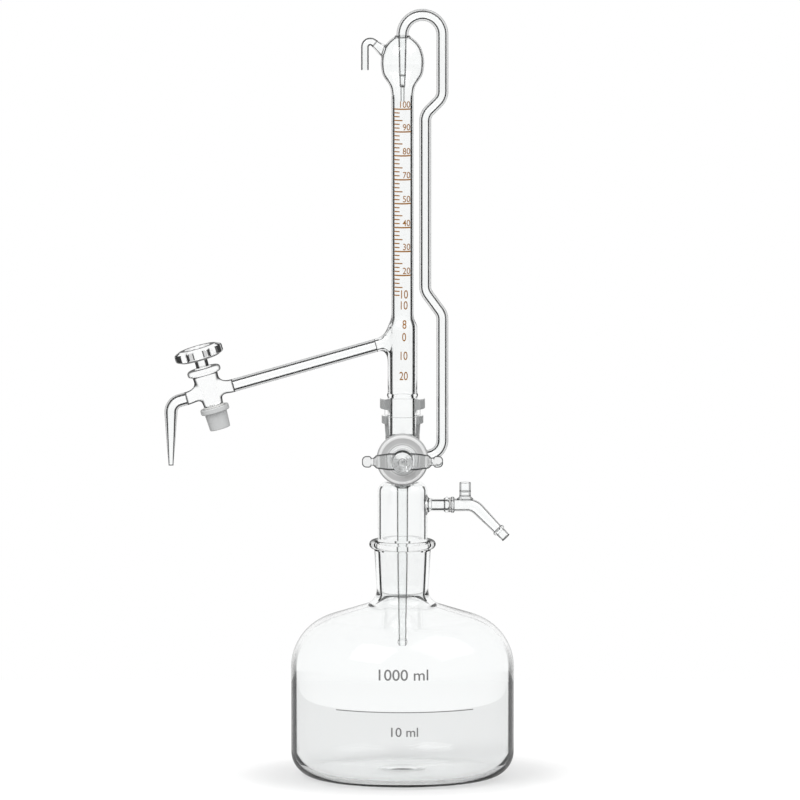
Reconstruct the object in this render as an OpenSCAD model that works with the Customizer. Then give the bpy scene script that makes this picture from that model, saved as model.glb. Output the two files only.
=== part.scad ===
// Automatic burette in clear glass: a reservoir bottle, a head ground into its neck with a
// three-way stopcock, a graduated column with an overflow bulb, a side filling tube and a
// sloping delivery arm with its own stopcock. Millimetres.
// The origin is the centre of the bottle's base. +Z is up, +X points to the air connector,
// and the stopcock's wing handle faces -Y.

/* [Bottle] */
// outside diameter of the bottle
bottle_d = 132.6; // [128:0.2:137]
// wall thickness of the bottle
bottle_wall = 2.0; // [1.7:0.1:2.4]
// height at which the shoulder's curve starts
bottle_side_h = 66; // [62:0.5:70]
// radius of the heel's curve
heel_r = 15; // [12:0.5:17]
// radius of the shoulder's curve
shoulder_r = 32; // [30:0.5:33]
// rise of the shoulder towards the neck, degrees from level
shoulder_slope = 18; // [17:0.5:19]
// thickness of the bottle's floor
floor_t = 3.2; // [2.6:0.1:4]
// height of the rim bead's centre above the foot of the neck
neck_h = 34.2; // [33:0.2:37]
// radius of the glass that makes the rim bead
rim_bead_r = 2.5; // [2.2:0.1:2.8]

/* [Ground joint] */
// diameter at the large end of the head's ground cone
joint_d = 29.2; // [28.8:0.1:29.4]
// length of the ground cone
joint_len = 28; // [26:0.5:29]
// clearance between cone and socket, on the radius
joint_gap = 0.05; // [0.03:0.01:0.08]

/* [Head] */
// outside diameter of the head chamber
head_d = 29.6; // [29.6:0.1:30.6]
// wall thickness of the head chamber
head_wall = 1.3; // [1.1:0.1:1.5]
// height of the head above its ground cone
head_h = 36.5; // [35:0.5:39]
// radius of the dome's curve
dome_r = 6; // [5:0.5:7]
// height of the air port's axis above the ground cone
port_rise = 22.4; // [20:0.2:23.6]
// outside diameter of the air port's tube
port_d = 7.5; // [7.3:0.1:7.9]
// outside diameter of the beads that meet at the air coupling
coupling_d = 9.8; // [9.4:0.1:10.6]
// distance of the coupling's first bead from the axis
coupling_x = 25.4; // [24.6:0.2:27]
// outside diameter of the dip tube at its top
dip_d = 6.9; // [6.5:0.1:7.3]
// depth of the dip tube's end above the bottle's base
dip_end_z = 79.5; // [60:0.5:86]

/* [Air connector] */
// distance of the finger-vent pipe from the coupling
vent_pipe_offset = 12.2; // [11.6:0.2:13]
// height of the finger-vent pipe above the connector's axis
vent_pipe_h = 13.6; // [11:0.2:16]
// downward bend of the spout, degrees
spout_angle = 45.7; // [40:0.1:50]
// radius of the spout's bend
spout_bend_r = 9; // [8.5:0.5:11]
// length of the spout after its bend
spout_len = 16.5; // [14:0.5:19]
// outside diameter of the end that a hose goes on
hose_end_d = 5.8; // [5.6:0.1:6.4]
// length of the end that a hose goes on
hose_end_len = 5.2; // [4.6:0.2:7]

/* [Main stopcock] */
// height of the stopcock's axis above the head's dome
main_rise = 15.5; // [15:0.1:16.5]
// diameter of the plug at the barrel's front face
plug_d = 18; // [17.4:0.1:18.6]
// length of the barrel
barrel_len = 35; // [33:0.5:37]
// outside diameter of the barrel behind its flange
barrel_d = 24; // [23.4:0.1:24.6]
// outside diameter of the frosted front flange
flange_d = 31.2; // [29.8:0.2:32.4]
// thickness of the front flange
flange_t = 5; // [4.4:0.1:5.6]
// clearance between a plug and its barrel, on the radius
plug_gap = 0.05; // [0.03:0.01:0.08]
// diameter of the ways through the stopcock
way_d = 3.6; // [3.2:0.1:3.8]
// span of the wing handle, end to end
handle_span = 48.5; // [46:0.5:52]
// thickness of the handle at its boss
handle_d = 10.6; // [9.8:0.1:11]

/* [Column] */
// height of the socket that holds the column's foot
socket_h = 12; // [11.4:0.1:12.6]
// outside diameter of the column's foot
foot_d = 17.7; // [17.3:0.1:18]
// bore of the column's foot
foot_bore = 14.2; // [13.6:0.1:14.4]
// height of the wide foot, from the socket's floor
foot_h = 66; // [64:0.5:68]
// outside diameter of the graduated tube
tube_d = 13.4; // [13:0.1:13.8]
// bore of the graduated tube
tube_bore = 11; // [10.6:0.1:11.4]
// length of the graduated tube
tube_h = 140; // [138:0.5:144]
// outside diameter of the overflow bulb
bulb_d = 25.8; // [25:0.2:26.6]
// height of the overflow bulb
bulb_h = 32.4; // [32:0.2:33.4]
// wall thickness of the overflow bulb
bulb_wall = 1; // [0.9:0.1:1.2]
// length of the filling jet's fine end
jet_tip_h = 9.5; // [7:0.5:12]

/* [Filling tube] */
// outside diameter of the filling tube
fill_d = 7.2; // [7:0.1:7.4]
// bore of the filling tube
fill_bore = 4.2; // [3.8:0.1:4.6]
// distance of the tube's outer runs from the column's axis
fill_out_x = 23.9; // [23.4:0.1:25]
// distance of the tube's inner run from the column's axis
fill_in_x = 13.6; // [13.2:0.1:14.2]
// angle of the upper side step, degrees
upper_step_angle = 45; // [40:1:48]
// angle of the lower side step, degrees
lower_step_angle = 36; // [32:1:42]
// height of the inner run's lower end above the stopcock's axis
inner_run_z = 102.5; // [98:0.5:106]

/* [Delivery arm] */
// slope of the arm, degrees
arm_slope = 15.8; // [14:0.1:18]
// height of the arm's root on the column, above the stopcock's axis
arm_rise = 71.3; // [70:0.1:72.5]
// outside diameter of the arm
arm_d = 7.9; // [7.5:0.1:8.3]
// bore of the arm
arm_bore = 5.5; // [5.1:0.1:5.7]
// length of the arm between its two seals
arm_len = 89.4; // [80:0.2:100]
// diameter of the arm plug at the top of its barrel
tap_plug_d = 10.4; // [10:0.1:10.6]
// length of the arm stopcock's barrel
tap_len = 23.4; // [22.4:0.2:24.4]
// diameter of the fluted knob
knob_d = 29.4; // [28:0.2:31]
// thickness of the fluted knob
knob_t = 7.2; // [6.6:0.1:8]
// number of flutes round the knob
knob_flutes = 10; // [8:1:12]
// length of the delivery tip's straight leg
tip_h = 31.5; // [28:0.5:35]

/* [Hidden] */
$fn = 72;
cut = 1;
taper = 0.05;
slip = 0.1;
lap = 0.2;
drawn = 0.03;
bottle_r = bottle_d / 2;
shoulder_z = bottle_side_h + shoulder_r / tan(45 + shoulder_slope / 2);
head_r = head_d / 2;
mouth_gap = 0.35;
rim_x = head_r + mouth_gap + rim_bead_r;
neck_foot_r = joint_d / 2 + 0.4;
neck_foot_z = shoulder_z + (bottle_r - neck_foot_r) * tan(shoulder_slope);
rim_z = neck_foot_z + neck_h;
seat_z = rim_z + 1.4;
dome_z = seat_z + head_h;
port_z = seat_z + port_rise;
main_z = dome_z + main_rise;
joint_r = joint_d / 2;
way_r = way_d / 2;
barrel_r = barrel_d / 2;
barrel_back = barrel_len * 3 / 7;
barrel_front = barrel_len - barrel_back;
boss_h = 12.5;
socket_z = main_z + boss_h;
foot_z = socket_z + 0.3;
foot_r = foot_d / 2;
tube_r = tube_d / 2;
widen_z = socket_z + foot_h;
widen_h = 5;
tube_top_z = widen_z + tube_h;
bulb_r = bulb_d / 2;
bulb_z = tube_top_z + bulb_h / 2 + 1.8;
bulb_top_z = bulb_z + bulb_h / 2;
bulb_neck_r = 4.5;
bulb_neck_z = bulb_top_z + 0.8;
jet_r = 2.55;
fill_r = fill_d / 2;
fill_way_r = fill_bore / 2;
port_r = port_d / 2;
coupling_r = coupling_d / 2;
bead_t = 2.4;
washer_t = 0.9;
spigot_r = 2.9;
spigot_len = 10;
connector_x = coupling_x + bead_t + washer_t + slip;
pipe_x = coupling_x + vent_pipe_offset;
arm_r = arm_d / 2;
arm_way_r = arm_bore / 2;
arm_z = main_z + arm_rise;
root_len = 16.3;
root_sink = 0.3;
root_short = 6;
tap_port_len = 14.4;
tap_at = root_len + arm_len + tap_port_len;
tap_top = tap_len * 0.65;
tap_bottom = tap_len - tap_top;
tap_plug_r = tap_plug_d / 2;
vent_angle = 40;
vent_r = 2.6;
elbow_r = 2.35;
vent_end = bulb_r + 9;

// Outline with rounded corners, from points [x, y, radius] given counter-clockwise.
function xy(p) = [p[0], p[1]];
function unit(v) = v / norm(v);
function side(a, p, b) = (p[0] - a[0]) * (b[1] - p[1]) - (p[1] - a[1]) * (b[0] - p[0]);
function half_angle(a, p, b) = acos(unit(a - p) * unit(b - p)) / 2;
function touch(a, p, b, r) = p + unit(a - p) * r / tan(half_angle(a, p, b));
function middle(a, p, b, r) = p + unit(unit(a - p) + unit(b - p)) * r / sin(half_angle(a, p, b));
function before(pts, i) = xy(pts[(i + len(pts) - 1) % len(pts)]);
function after(pts, i) = xy(pts[(i + 1) % len(pts)]);

module corner(a, p, b, r) {
    m = middle(a, p, b, r);
    first = touch(a, p, b, r);
    last = touch(b, p, a, r);
    intersection() {
        translate(m) circle(r = r);
        polygon([m, m + 2.5 * (first - m), m + 2.5 * (last - m)]);
    }
}

module outline(pts) {
    corners = [for (i = [0 : len(pts) - 1]) if (pts[i][2] > 0) i];
    difference() {
        union() {
            polygon([for (i = [0 : len(pts) - 1])
                let (a = before(pts, i), p = xy(pts[i]), b = after(pts, i), r = pts[i][2])
                each r > 0 ? [touch(a, p, b, r), touch(b, p, a, r)] : [p]]);
            for (i = corners)
                if (side(before(pts, i), xy(pts[i]), after(pts, i)) > 0)
                    corner(before(pts, i), xy(pts[i]), after(pts, i), pts[i][2]);
        }
        for (i = corners)
            if (side(before(pts, i), xy(pts[i]), after(pts, i)) < 0)
                corner(before(pts, i), xy(pts[i]), after(pts, i), pts[i][2]);
    }
}

// Straight length of tube along +Z.
module pipe(h, outer, inner) {
    difference() {
        cylinder(h = h, r = outer);
        translate([0, 0, -cut]) cylinder(h = h + 2 * cut, r = inner);
    }
}

// Bend that starts along +Z and turns towards +X; solid where inner is 0.
module bend(angle, bend_r, outer, inner) {
    translate([bend_r, 0, 0])
        rotate([0, 0, 180])
            rotate([90, 0, 0])
                rotate_extrude(angle = angle)
                    translate([bend_r, 0])
                        difference() {
                            circle(r = outer);
                            if (inner > 0) circle(r = inner);
                        }
}

// Bent tube: each step is [straight length, bend radius, bend angle]; a plus turns to +X.
// Glass thins a little where it is bent, so a bend is drawn finer than its straight runs.
module bent_tube(steps, outer, inner, i = 0) {
    if (i < len(steps)) {
        run = steps[i][0];
        bend_r = steps[i][1];
        angle = steps[i][2];
        way = angle < 0 ? -1 : 1;
        back = i > 0 ? lap : 0;
        ahead = angle == 0 ? 0 : lap;
        translate([0, 0, -back]) pipe(run + back + ahead, outer, inner);
        translate([0, 0, run]) {
            if (angle > 0) bend(angle, bend_r, outer - drawn, inner - drawn);
            if (angle < 0) mirror([1, 0, 0]) bend(-angle, bend_r, outer - drawn, inner - drawn);
            translate([way * bend_r * (1 - cos(angle)), 0, bend_r * sin(abs(angle))])
                rotate([0, angle, 0])
                    bent_tube(steps, outer, inner, i + 1) children();
        }
    } else {
        children();
    }
}

// Ring of round section about the Z axis.
module ring(ring_r, section_r) {
    rotate_extrude() translate([ring_r, 0]) circle(r = section_r);
}

// Places: local +Z is the plug's outer end, local +Z along the arm, and local +Z up the arm's tap.
module at_main() {
    translate([0, 0, main_z]) rotate([90, 0, 0]) children();
}

module at_arm() {
    translate([0, 0, arm_z]) rotate([0, -90 - arm_slope, 0]) children();
}

module at_tap() {
    at_arm() translate([0, 0, tap_at]) rotate([0, 90, 0]) children();
}

module at_port() {
    translate([0, 0, port_z]) rotate([0, 90, 0]) children();
}

// Squat reservoir bottle: rounded heel, domed shoulder, ground socket in a flared neck, rim bead.
module bottle() {
    in_r = bottle_r - bottle_wall;
    neck_top_r = rim_x - 0.4;
    socket_r = joint_r + joint_gap;
    socket_end_z = seat_z - joint_len - 1;
    socket_end_r = socket_r - taper * (joint_len + 1);
    in_shoulder_z = shoulder_z - bottle_wall;
    in_neck_z = in_shoulder_z + (in_r - socket_end_r) * tan(shoulder_slope);
    color([0.86, 0.9, 0.91, 0.35])
        rotate_extrude()
            difference() {
                union() {
                    outline([[0, 0, 0], [bottle_r, 0, heel_r],
                        [bottle_r, shoulder_z, shoulder_r],
                        [neck_foot_r, neck_foot_z, 10],
                        [neck_top_r, rim_z, 0], [0, rim_z, 0]]);
                    translate([rim_x, rim_z]) circle(r = rim_bead_r);
                }
                outline([[0, floor_t, 0], [in_r, floor_t, heel_r - bottle_wall],
                    [in_r, in_shoulder_z, shoulder_r - bottle_wall],
                    [socket_end_r, in_neck_z, 8],
                    [socket_end_r, socket_end_z, 0],
                    [socket_r + taper * cut, seat_z + cut, 0],
                    [0, seat_z + cut, 0]]);
            }
}

// Head chamber: ground cone, cylinder, dome and the short stem that carries the stopcock.
module head_chamber() {
    cone_z = seat_z - joint_len;
    cone_end_r = joint_r - taper * joint_len;
    cone_wall = 1.4;
    stem_r = 6.2;
    color([0.86, 0.9, 0.91, 0.35])
        difference() {
            rotate_extrude()
                difference() {
                    outline([[0, cone_z, 0], [cone_end_r, cone_z, 0.5], [joint_r, seat_z, 0],
                        [head_r, seat_z, 0], [head_r, dome_z, dome_r],
                        [stem_r, dome_z, 1.2], [stem_r, main_z - boss_h, 0],
                        [0, main_z - boss_h, 0]]);
                    outline([[0, cone_z - cut, 0], [cone_end_r - cone_wall, cone_z - cut, 0],
                        [head_r - head_wall, seat_z + 2, 4],
                        [head_r - head_wall, dome_z - head_wall, dome_r - head_wall],
                        [0, dome_z - head_wall, 0]]);
                }
            translate([0, 0, dome_z - 2 * cut - head_wall]) cylinder(h = main_rise, r = way_r);
            at_port() cylinder(h = head_r + cut, r = 2.3);
        }
}

// Air port: flared tube sealed to the head, ending in the coupling's first bead.
module air_port() {
    color([0.86, 0.9, 0.91, 0.35])
        difference() {
            at_port()
                rotate_extrude()
                    outline([[0, head_r - 4, 0], [6.2, head_r - 4, 0], [5.8, head_r - 0.2, 0],
                        [port_r, head_r + 1.2, 2.5], [port_r, coupling_x, 0.6],
                        [coupling_r, coupling_x, 0.8], [coupling_r, coupling_x + bead_t, 0.8],
                        [0, coupling_x + bead_t, 0]]);
            translate([0, 0, port_z - 10]) cylinder(h = 20, r = head_r);
            at_port() cylinder(h = coupling_x, r = 2.3);
            at_port()
                translate([0, 0, coupling_x + bead_t - spigot_len - 0.4])
                    cylinder(h = spigot_len + cut, r = spigot_r + plug_gap);
        }
}

// Dip tube: sealed under the dome, drawn down to a fine end with a small bead.
module dip_tube() {
    top_z = dome_z - head_wall;
    dip_r = dip_d / 2;
    end_r = dip_r * 0.66;
    color([0.86, 0.9, 0.91, 0.35])
        rotate_extrude()
            difference() {
                outline([[0, dip_end_z, 0], [end_r, dip_end_z, 0.4],
                    [end_r + 0.8, dip_end_z + 2.4, 1.2], [end_r, dip_end_z + 5, 1.5],
                    [dip_r - 0.3, dip_end_z + 45, 0], [dip_r, top_z - 2, 1.5],
                    [dip_r + 1.8, top_z, 0], [0, top_z, 0]]);
                outline([[0, dip_end_z - cut, 0], [0.44 * dip_r, dip_end_z - cut, 0],
                    [0.5 * dip_r, dip_end_z + 5, 0], [0.72 * dip_r, top_z - 20, 0],
                    [0.72 * dip_r, top_z - 4, 0], [way_r, top_z - 1, 0],
                    [way_r, top_z + cut, 0], [0, top_z + cut, 0]]);
            }
}

// Barrel of the main stopcock: tapered seat, wide front flange, three ports.
module main_barrel() {
    seat_r = plug_d / 2;
    port_end_x = fill_in_x;
    color([0.84, 0.88, 0.89, 0.4])
        difference() {
            union() {
                at_main()
                    rotate_extrude()
                        outline([[0, -barrel_back, 0], [barrel_r - 1.6, -barrel_back, 1.2],
                            [barrel_r, barrel_front - flange_t, 1.5],
                            [flange_d / 2, barrel_front - flange_t, 1.8],
                            [flange_d / 2, barrel_front, 1.8], [0, barrel_front, 0]]);
                translate([0, 0, main_z - boss_h]) cylinder(h = boss_h, r = 6.2);
                translate([0, 0, main_z]) cylinder(h = boss_h, r = foot_r + 1.35);
                translate([0, 0, main_z])
                    rotate([0, 90, 0])
                        rotate_extrude()
                            outline([[0, 0, 0], [6.4, 0, 0], [6.4, barrel_r - 1, 0],
                                [fill_r, barrel_r + 0.2, 1], [fill_r, port_end_x, 0],
                                [0, port_end_x, 0]]);
            }
            at_main()
                translate([0, 0, -barrel_back - cut])
                    cylinder(h = barrel_len + 2 * cut,
                        r1 = seat_r - taper * (barrel_len + cut), r2 = seat_r + taper * cut);
            translate([0, 0, main_z - boss_h - cut]) cylinder(h = boss_h, r = way_r);
            translate([0, 0, main_z]) cylinder(h = boss_h + cut, r = way_r);
            translate([0, 0, main_z])
                rotate([0, 90, 0])
                    cylinder(h = port_end_x + cut, r = way_r);
        }
}

// Ground socket on the barrel, frosted, which takes the column's foot.
module foot_socket() {
    top_z = socket_z + socket_h;
    seat_r = foot_r + joint_gap;
    skirt_r = foot_r + 1.35;
    color([0.7, 0.72, 0.73, 0.7])
        difference() {
            rotate_extrude()
                outline([[0, socket_z, 0], [skirt_r, socket_z, 0],
                    [skirt_r + 0.6, top_z - 4.6, 0], [skirt_r + 0.6, top_z, 0.6], [0, top_z, 0]]);
            translate([0, 0, socket_z - cut])
                cylinder(h = socket_h + 2 * cut,
                    r1 = seat_r - taper * (socket_h + cut), r2 = seat_r + taper * cut);
        }
}

// Grey spring clip, open to the front: a lower collar round the socket and an upper one on the foot.
module joint_clip() {
    low_z = socket_z + socket_h - 4.6;
    mid_z = socket_z + socket_h;
    low_r = foot_r + 2.05;
    top_r = foot_r + 0.15;
    opening = 104;
    color([0.55, 0.57, 0.58, 0.9])
        rotate([0, 0, 270 + opening / 2])
            rotate_extrude(angle = 360 - opening)
                outline([[low_r, low_z, 0], [low_r + 1.6, low_z, 0.5],
                    [low_r + 1.6, mid_z + 0.2, 0.5], [low_r - 0.2, mid_z + 0.8, 0.5],
                    [low_r - 0.2, mid_z + 4, 0.5], [low_r + 2.6, mid_z + 4.4, 0.6],
                    [low_r + 2.6, mid_z + 10.6, 0.8], [top_r, mid_z + 10.6, 0.5],
                    [top_r, mid_z + 0.4, 0], [low_r, mid_z + 0.4, 0]]);
}

// Root bends: up is 1 for the bend that runs up the column's wall and -1 for the one that runs down.
// A bend starts at the arm's seal and ends just inside the wall of the column.
function root_wall(up) = (up > 0 ? tube_r : foot_r) - root_sink;
function root_run(up) = root_len - lap - (root_wall(up) - arm_r) / cos(arm_slope);
function root_bend_r(up) = root_run(up) * tan(45 + up * arm_slope / 2);

// Root of the arm: a short length of arm with a bend up and a bend down into the column's wall.
module arm_root(r) {
    at_arm() {
        cylinder(h = root_len, r = r);
        for (up = [-1, 1])
            translate([0, 0, root_len - lap])
                rotate([0, 180, 0])
                    mirror([up > 0 ? 1 : 0, 0, 0])
                        bend(90 - up * arm_slope - root_short, root_bend_r(up), r - drawn, 0);
    }
}

// Column: ground foot with a stop bead, wide foot, arm root and the narrower graduated tube.
module burette_tube() {
    stop_z = socket_z + socket_h + 11.6;
    end_r = foot_r - taper * (socket_h - 0.3);
    color([0.86, 0.9, 0.91, 0.35])
        difference() {
            union() {
                rotate_extrude()
                    outline([[0, foot_z, 0], [end_r, foot_z, 0.4],
                        [foot_r, socket_z + socket_h, 0], [foot_r, stop_z - 0.6, 0],
                        [foot_r + 0.7, stop_z, 0.5], [foot_r + 0.7, stop_z + 1.4, 0.5],
                        [foot_r, stop_z + 2, 0], [foot_r, widen_z, 4],
                        [tube_r, widen_z + widen_h, 4],
                        [tube_r, tube_top_z, 0], [0, tube_top_z, 0]]);
                arm_root(arm_r);
            }
            rotate_extrude()
                outline([[0, foot_z - cut, 0], [foot_bore / 2, foot_z - cut, 0],
                    [foot_bore / 2, widen_z - 0.4, 4], [tube_bore / 2, widen_z + widen_h - 0.4, 4],
                    [tube_bore / 2, tube_top_z + cut, 0], [0, tube_top_z + cut, 0]]);
            arm_root(arm_way_r);
            at_arm() cylinder(h = root_len + cut, r = arm_way_r);
        }
}

// Oval: side arcs of radius side_r, half width a and half height b, closed by end arcs.
module oval(a, b, side_r) {
    c = side_r - a;
    end_r = (side_r * side_r - c * c - b * b) / (2 * (side_r - b));
    end_y = b - end_r;
    join_y = side_r * end_y / (side_r - end_r);
    union() {
        intersection() {
            translate([-c, 0]) circle(r = side_r);
            translate([0, -join_y]) square([a + cut, 2 * join_y]);
        }
        for (way = [-1, 1])
            intersection() {
                translate([0, way * end_y]) circle(r = end_r);
                translate([0, way > 0 ? join_y - 0.5 : -b - cut]) square([a, b + cut - join_y + 0.5]);
            }
    }
}

// Overflow bulb: egg-shaped, with a neck to the graduated tube and one for the filling tube.
module overflow_bulb() {
    side_r = bulb_r * 1.56;
    color([0.86, 0.9, 0.91, 0.35])
        difference() {
            rotate_extrude()
                difference() {
                    union() {
                        translate([0, bulb_z]) oval(bulb_r, bulb_h / 2, side_r);
                        translate([0, tube_top_z]) square([tube_r, bulb_h / 4]);
                        translate([0, bulb_top_z - 4]) square([bulb_neck_r, bulb_neck_z - bulb_top_z + 4]);
                    }
                    translate([0, bulb_z])
                        oval(bulb_r - bulb_wall, bulb_h / 2 - bulb_wall, side_r - bulb_wall);
                    translate([0, tube_top_z - cut]) square([tube_bore / 2, bulb_h / 4]);
                    translate([0, bulb_z]) square([jet_r + plug_gap, bulb_h]);
                }
            vent_place() cylinder(h = bulb_r + cut, r = 1.5);
        }
}

// Filling jet: hangs from the filling tube inside the bulb and ends in a fine capillary.
module fill_jet() {
    waist_z = bulb_z - 6.5;
    tip_z = waist_z - 6.5;
    end_z = tip_z - jet_tip_h;
    color([0.86, 0.9, 0.91, 0.35])
        rotate_extrude()
            difference() {
                outline([[0, end_z, 0], [1.3, end_z, 0.3], [1.4, tip_z, 2], [2, waist_z, 1.5],
                    [jet_r, bulb_top_z - 3, 0], [jet_r, bulb_neck_z, 0], [0, bulb_neck_z, 0]]);
                outline([[0, end_z - cut, 0], [0.6, end_z - cut, 0], [0.7, tip_z, 0],
                    [1.2, waist_z, 0], [jet_r - 0.9, bulb_top_z - 3, 0],
                    [jet_r - 0.9, bulb_neck_z + cut, 0], [0, bulb_neck_z + cut, 0]]);
            }
}

// Place of the vent: up and to the left from the bulb, at right angles to its wall.
module vent_place() {
    translate([0, 0, bulb_z - 1.7]) rotate([0, vent_angle - 90, 0]) children();
}

// Vent stub, flared where it is sealed to the bulb.
module vent_stub() {
    color([0.86, 0.9, 0.91, 0.35])
        difference() {
            vent_place()
                rotate_extrude()
                    outline([[0, bulb_r - 3, 0], [vent_r + 1.7, bulb_r - 3, 0],
                        [vent_r, vent_end, 0], [0, vent_end, 0]]);
            rotate_extrude() translate([0, bulb_z]) oval(bulb_r, bulb_h / 2, bulb_r * 1.56);
            vent_place() cylinder(h = 2 * bulb_r, r = 1.5);
        }
}

// Vent elbow, turned down so that nothing falls in.
module vent_elbow() {
    color([0.86, 0.9, 0.91, 0.35])
        vent_place()
            translate([0, 0, vent_end])
                bent_tube([[0.6, 3.2, vent_angle - 170], [13.9, 0, 0]], elbow_r, 1.6);
}

// Filling tube: from the bulb's top over a U-bend, down past the scale with two side steps.
module fill_tube() {
    up_r = fill_out_x / 2;
    step_r = 9;
    in_by = fill_out_x - fill_in_x;
    upper_run = (in_by - 2 * step_r * (1 - cos(upper_step_angle))) / sin(upper_step_angle);
    lower_run = (in_by - 2 * step_r * (1 - cos(lower_step_angle))) / sin(lower_step_angle);
    upper_h = 2 * step_r * sin(upper_step_angle) + upper_run * cos(upper_step_angle);
    lower_h = 2 * step_r * sin(lower_step_angle) + lower_run * cos(lower_step_angle);
    start_h = 0.6;
    u_z = bulb_neck_z + start_h;
    upper_z = tube_top_z + 1.5;
    inner_z = main_z + inner_run_z;
    end_h = 0.8;
    last_r = fill_out_x - fill_in_x - end_h;
    color([0.86, 0.9, 0.91, 0.35])
        translate([0, 0, bulb_neck_z])
            bent_tube([[start_h, up_r, 180],
                [u_z - upper_z, step_r, upper_step_angle],
                [upper_run, step_r, -upper_step_angle],
                [upper_z - upper_h - inner_z, step_r, -lower_step_angle],
                [lower_run, step_r, lower_step_angle],
                [inner_z - lower_h - main_z - last_r, last_r, 90],
                [end_h, 0, 0]], fill_r, fill_way_r);
}

// Delivery arm: plain sloping tube between two seals.
module delivery_arm() {
    color([0.86, 0.9, 0.91, 0.35])
        at_arm() translate([0, 0, root_len]) pipe(arm_len, arm_r, arm_way_r);
}

// Barrel of the arm stopcock: tapered seat, rounded top bead, a port on each side.
module arm_barrel() {
    top_r = 7.75;
    low_r = 5.9;
    bead_r = 10.2;
    color([0.86, 0.9, 0.91, 0.35])
        difference() {
            union() {
                at_tap()
                    rotate_extrude()
                        outline([[0, -tap_bottom, 0], [low_r, -tap_bottom, 0.6],
                            [top_r, tap_top - 4, 1], [bead_r, tap_top - 4, 1.6],
                            [bead_r, tap_top, 1.9], [0, tap_top, 0]]);
                at_tap()
                    for (way = [-1, 1])
                        rotate([0, way * 90, 0])
                            rotate_extrude()
                                outline([[0, 0, 0], [7, 0, 0], [6.2, 5.8, 0], [arm_r, 8.4, 4],
                                    [arm_r, tap_port_len, 0], [0, tap_port_len, 0]]);
            }
            at_tap()
                translate([0, 0, -tap_bottom - cut])
                    cylinder(h = tap_len + 2 * cut,
                        r1 = tap_plug_r - taper * (tap_len + cut), r2 = tap_plug_r + taper * cut);
            at_tap()
                for (way = [-1, 1])
                    rotate([0, way * 90, 0]) {
                        cylinder(h = tap_port_len, r = 1.4);
                        translate([0, 0, 7.6])
                            cylinder(h = tap_port_len - 7.6 + cut, r1 = 1.4, r2 = arm_way_r);
                    }
        }
}

// Delivery tip: follows the arm, bends down and is drawn out to a fine end.
module delivery_tip() {
    tip_bend_r = 7.4;
    lead = 4.3;
    tail = 0.6;
    color([0.86, 0.9, 0.91, 0.35])
        at_arm()
            translate([0, 0, tap_at + tap_port_len])
                mirror([1, 0, 0])
                    bent_tube([[lead, tip_bend_r, 90 - arm_slope], [tail, 0, 0]], arm_r, arm_way_r)
                        difference() {
                            cylinder(h = tip_h, r1 = arm_r, r2 = 1.5);
                            translate([0, 0, -cut])
                                cylinder(h = cut + 0.01, r = arm_way_r);
                            cylinder(h = tip_h + 0.01, r1 = arm_way_r, r2 = 0.9);
                        }
}

// Soft washer between the two beads of the air coupling.
module coupling_washer() {
    color([0.9, 0.9, 0.88])
        at_port() translate([0, 0, coupling_x + bead_t]) pipe(washer_t, coupling_r - 0.5, spigot_r + plug_gap);
}

// Plug of the main stopcock: ground cone with a T-shaped way, neck to the front, shank to the back.
module main_plug() {
    front_r = plug_d / 2 - plug_gap;
    front = barrel_front + 0.7;
    back = barrel_back + 0.3;
    color([0.7, 0.72, 0.73, 0.7])
        difference() {
            at_main()
                rotate_extrude()
                    outline([[0, -back - 11, 0], [3.5, -back - 11, 0.5], [3.5, -back, 0.4],
                        [front_r - taper * (barrel_len + 0.3), -back, 0],
                        [front_r + taper * 0.7, front, 0.5], [7.2, front, 0.6],
                        [7.2, front + 3, 0], [0, front + 3, 0]]);
            translate([-plug_d, 0, main_z]) rotate([0, 90, 0]) cylinder(h = 2 * plug_d, r = way_r);
            translate([0, 0, main_z - plug_d]) cylinder(h = plug_d, r = way_r);
        }
}

// Outline of one wing from the boss out to its rounded end; way is 1 or -1.
function wing(way, r, half) = [[0.96 * r, way * 0.33 * half, 0], [0.755 * r, way * 0.645 * half, 1.6],
    [0.34 * r, way * 0.744 * half, 1.1], [0.66 * r, way * 0.802 * half, 1.5], [0.64 * r, way * half, 2.6]];

// Wing handle: two drawn-out wings with rounded ends on a round boss with a dimple.
module main_handle() {
    base = barrel_front + 3.7;
    r = handle_d / 2;
    half = handle_span / 2;
    inner_wing = wing(-1, r, half);
    color([0.82, 0.86, 0.87, 0.5])
        at_main()
            translate([0, 0, base + r - 0.4])
                difference() {
                    union() {
                        rotate_extrude()
                            outline([[0, 0.4 - r, 0], [6.4, 0.4 - r, 0], [6.4, r + 1.1, 0.9], [0, r + 1.1, 0]]);
                        rotate([0, 90, 0])
                            rotate_extrude()
                                outline(concat([[0, -half, 0]], [for (i = [4 : -1 : 0]) inner_wing[i]],
                                    wing(1, r, half), [[0, half, 0]]));
                    }
                    translate([-half - cut, -r - cut, -r - cut])
                        cube([handle_span + 2 * cut, 2 * r + 2 * cut, 0.4 + cut]);
                    rotate_extrude()
                        outline([[0, r + 0.1, 0], [2.3, r + 0.1, 0.5], [3.6, r + 3, 0], [0, r + 3, 0]]);
                }
}

// Soft washer that runs on the back of the barrel.
module main_washer() {
    color([0.9, 0.9, 0.88])
        at_main() translate([0, 0, -barrel_back - slip - 1]) pipe(1, barrel_r - 2.4, plug_d / 2 - taper * barrel_len);
}

// Rubber ring that draws the plug into its seat.
module main_o_ring() {
    color([0.12, 0.12, 0.12])
        at_main() translate([0, 0, -barrel_back - slip - 2.1]) ring(4.7, 1.1);
}

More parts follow.
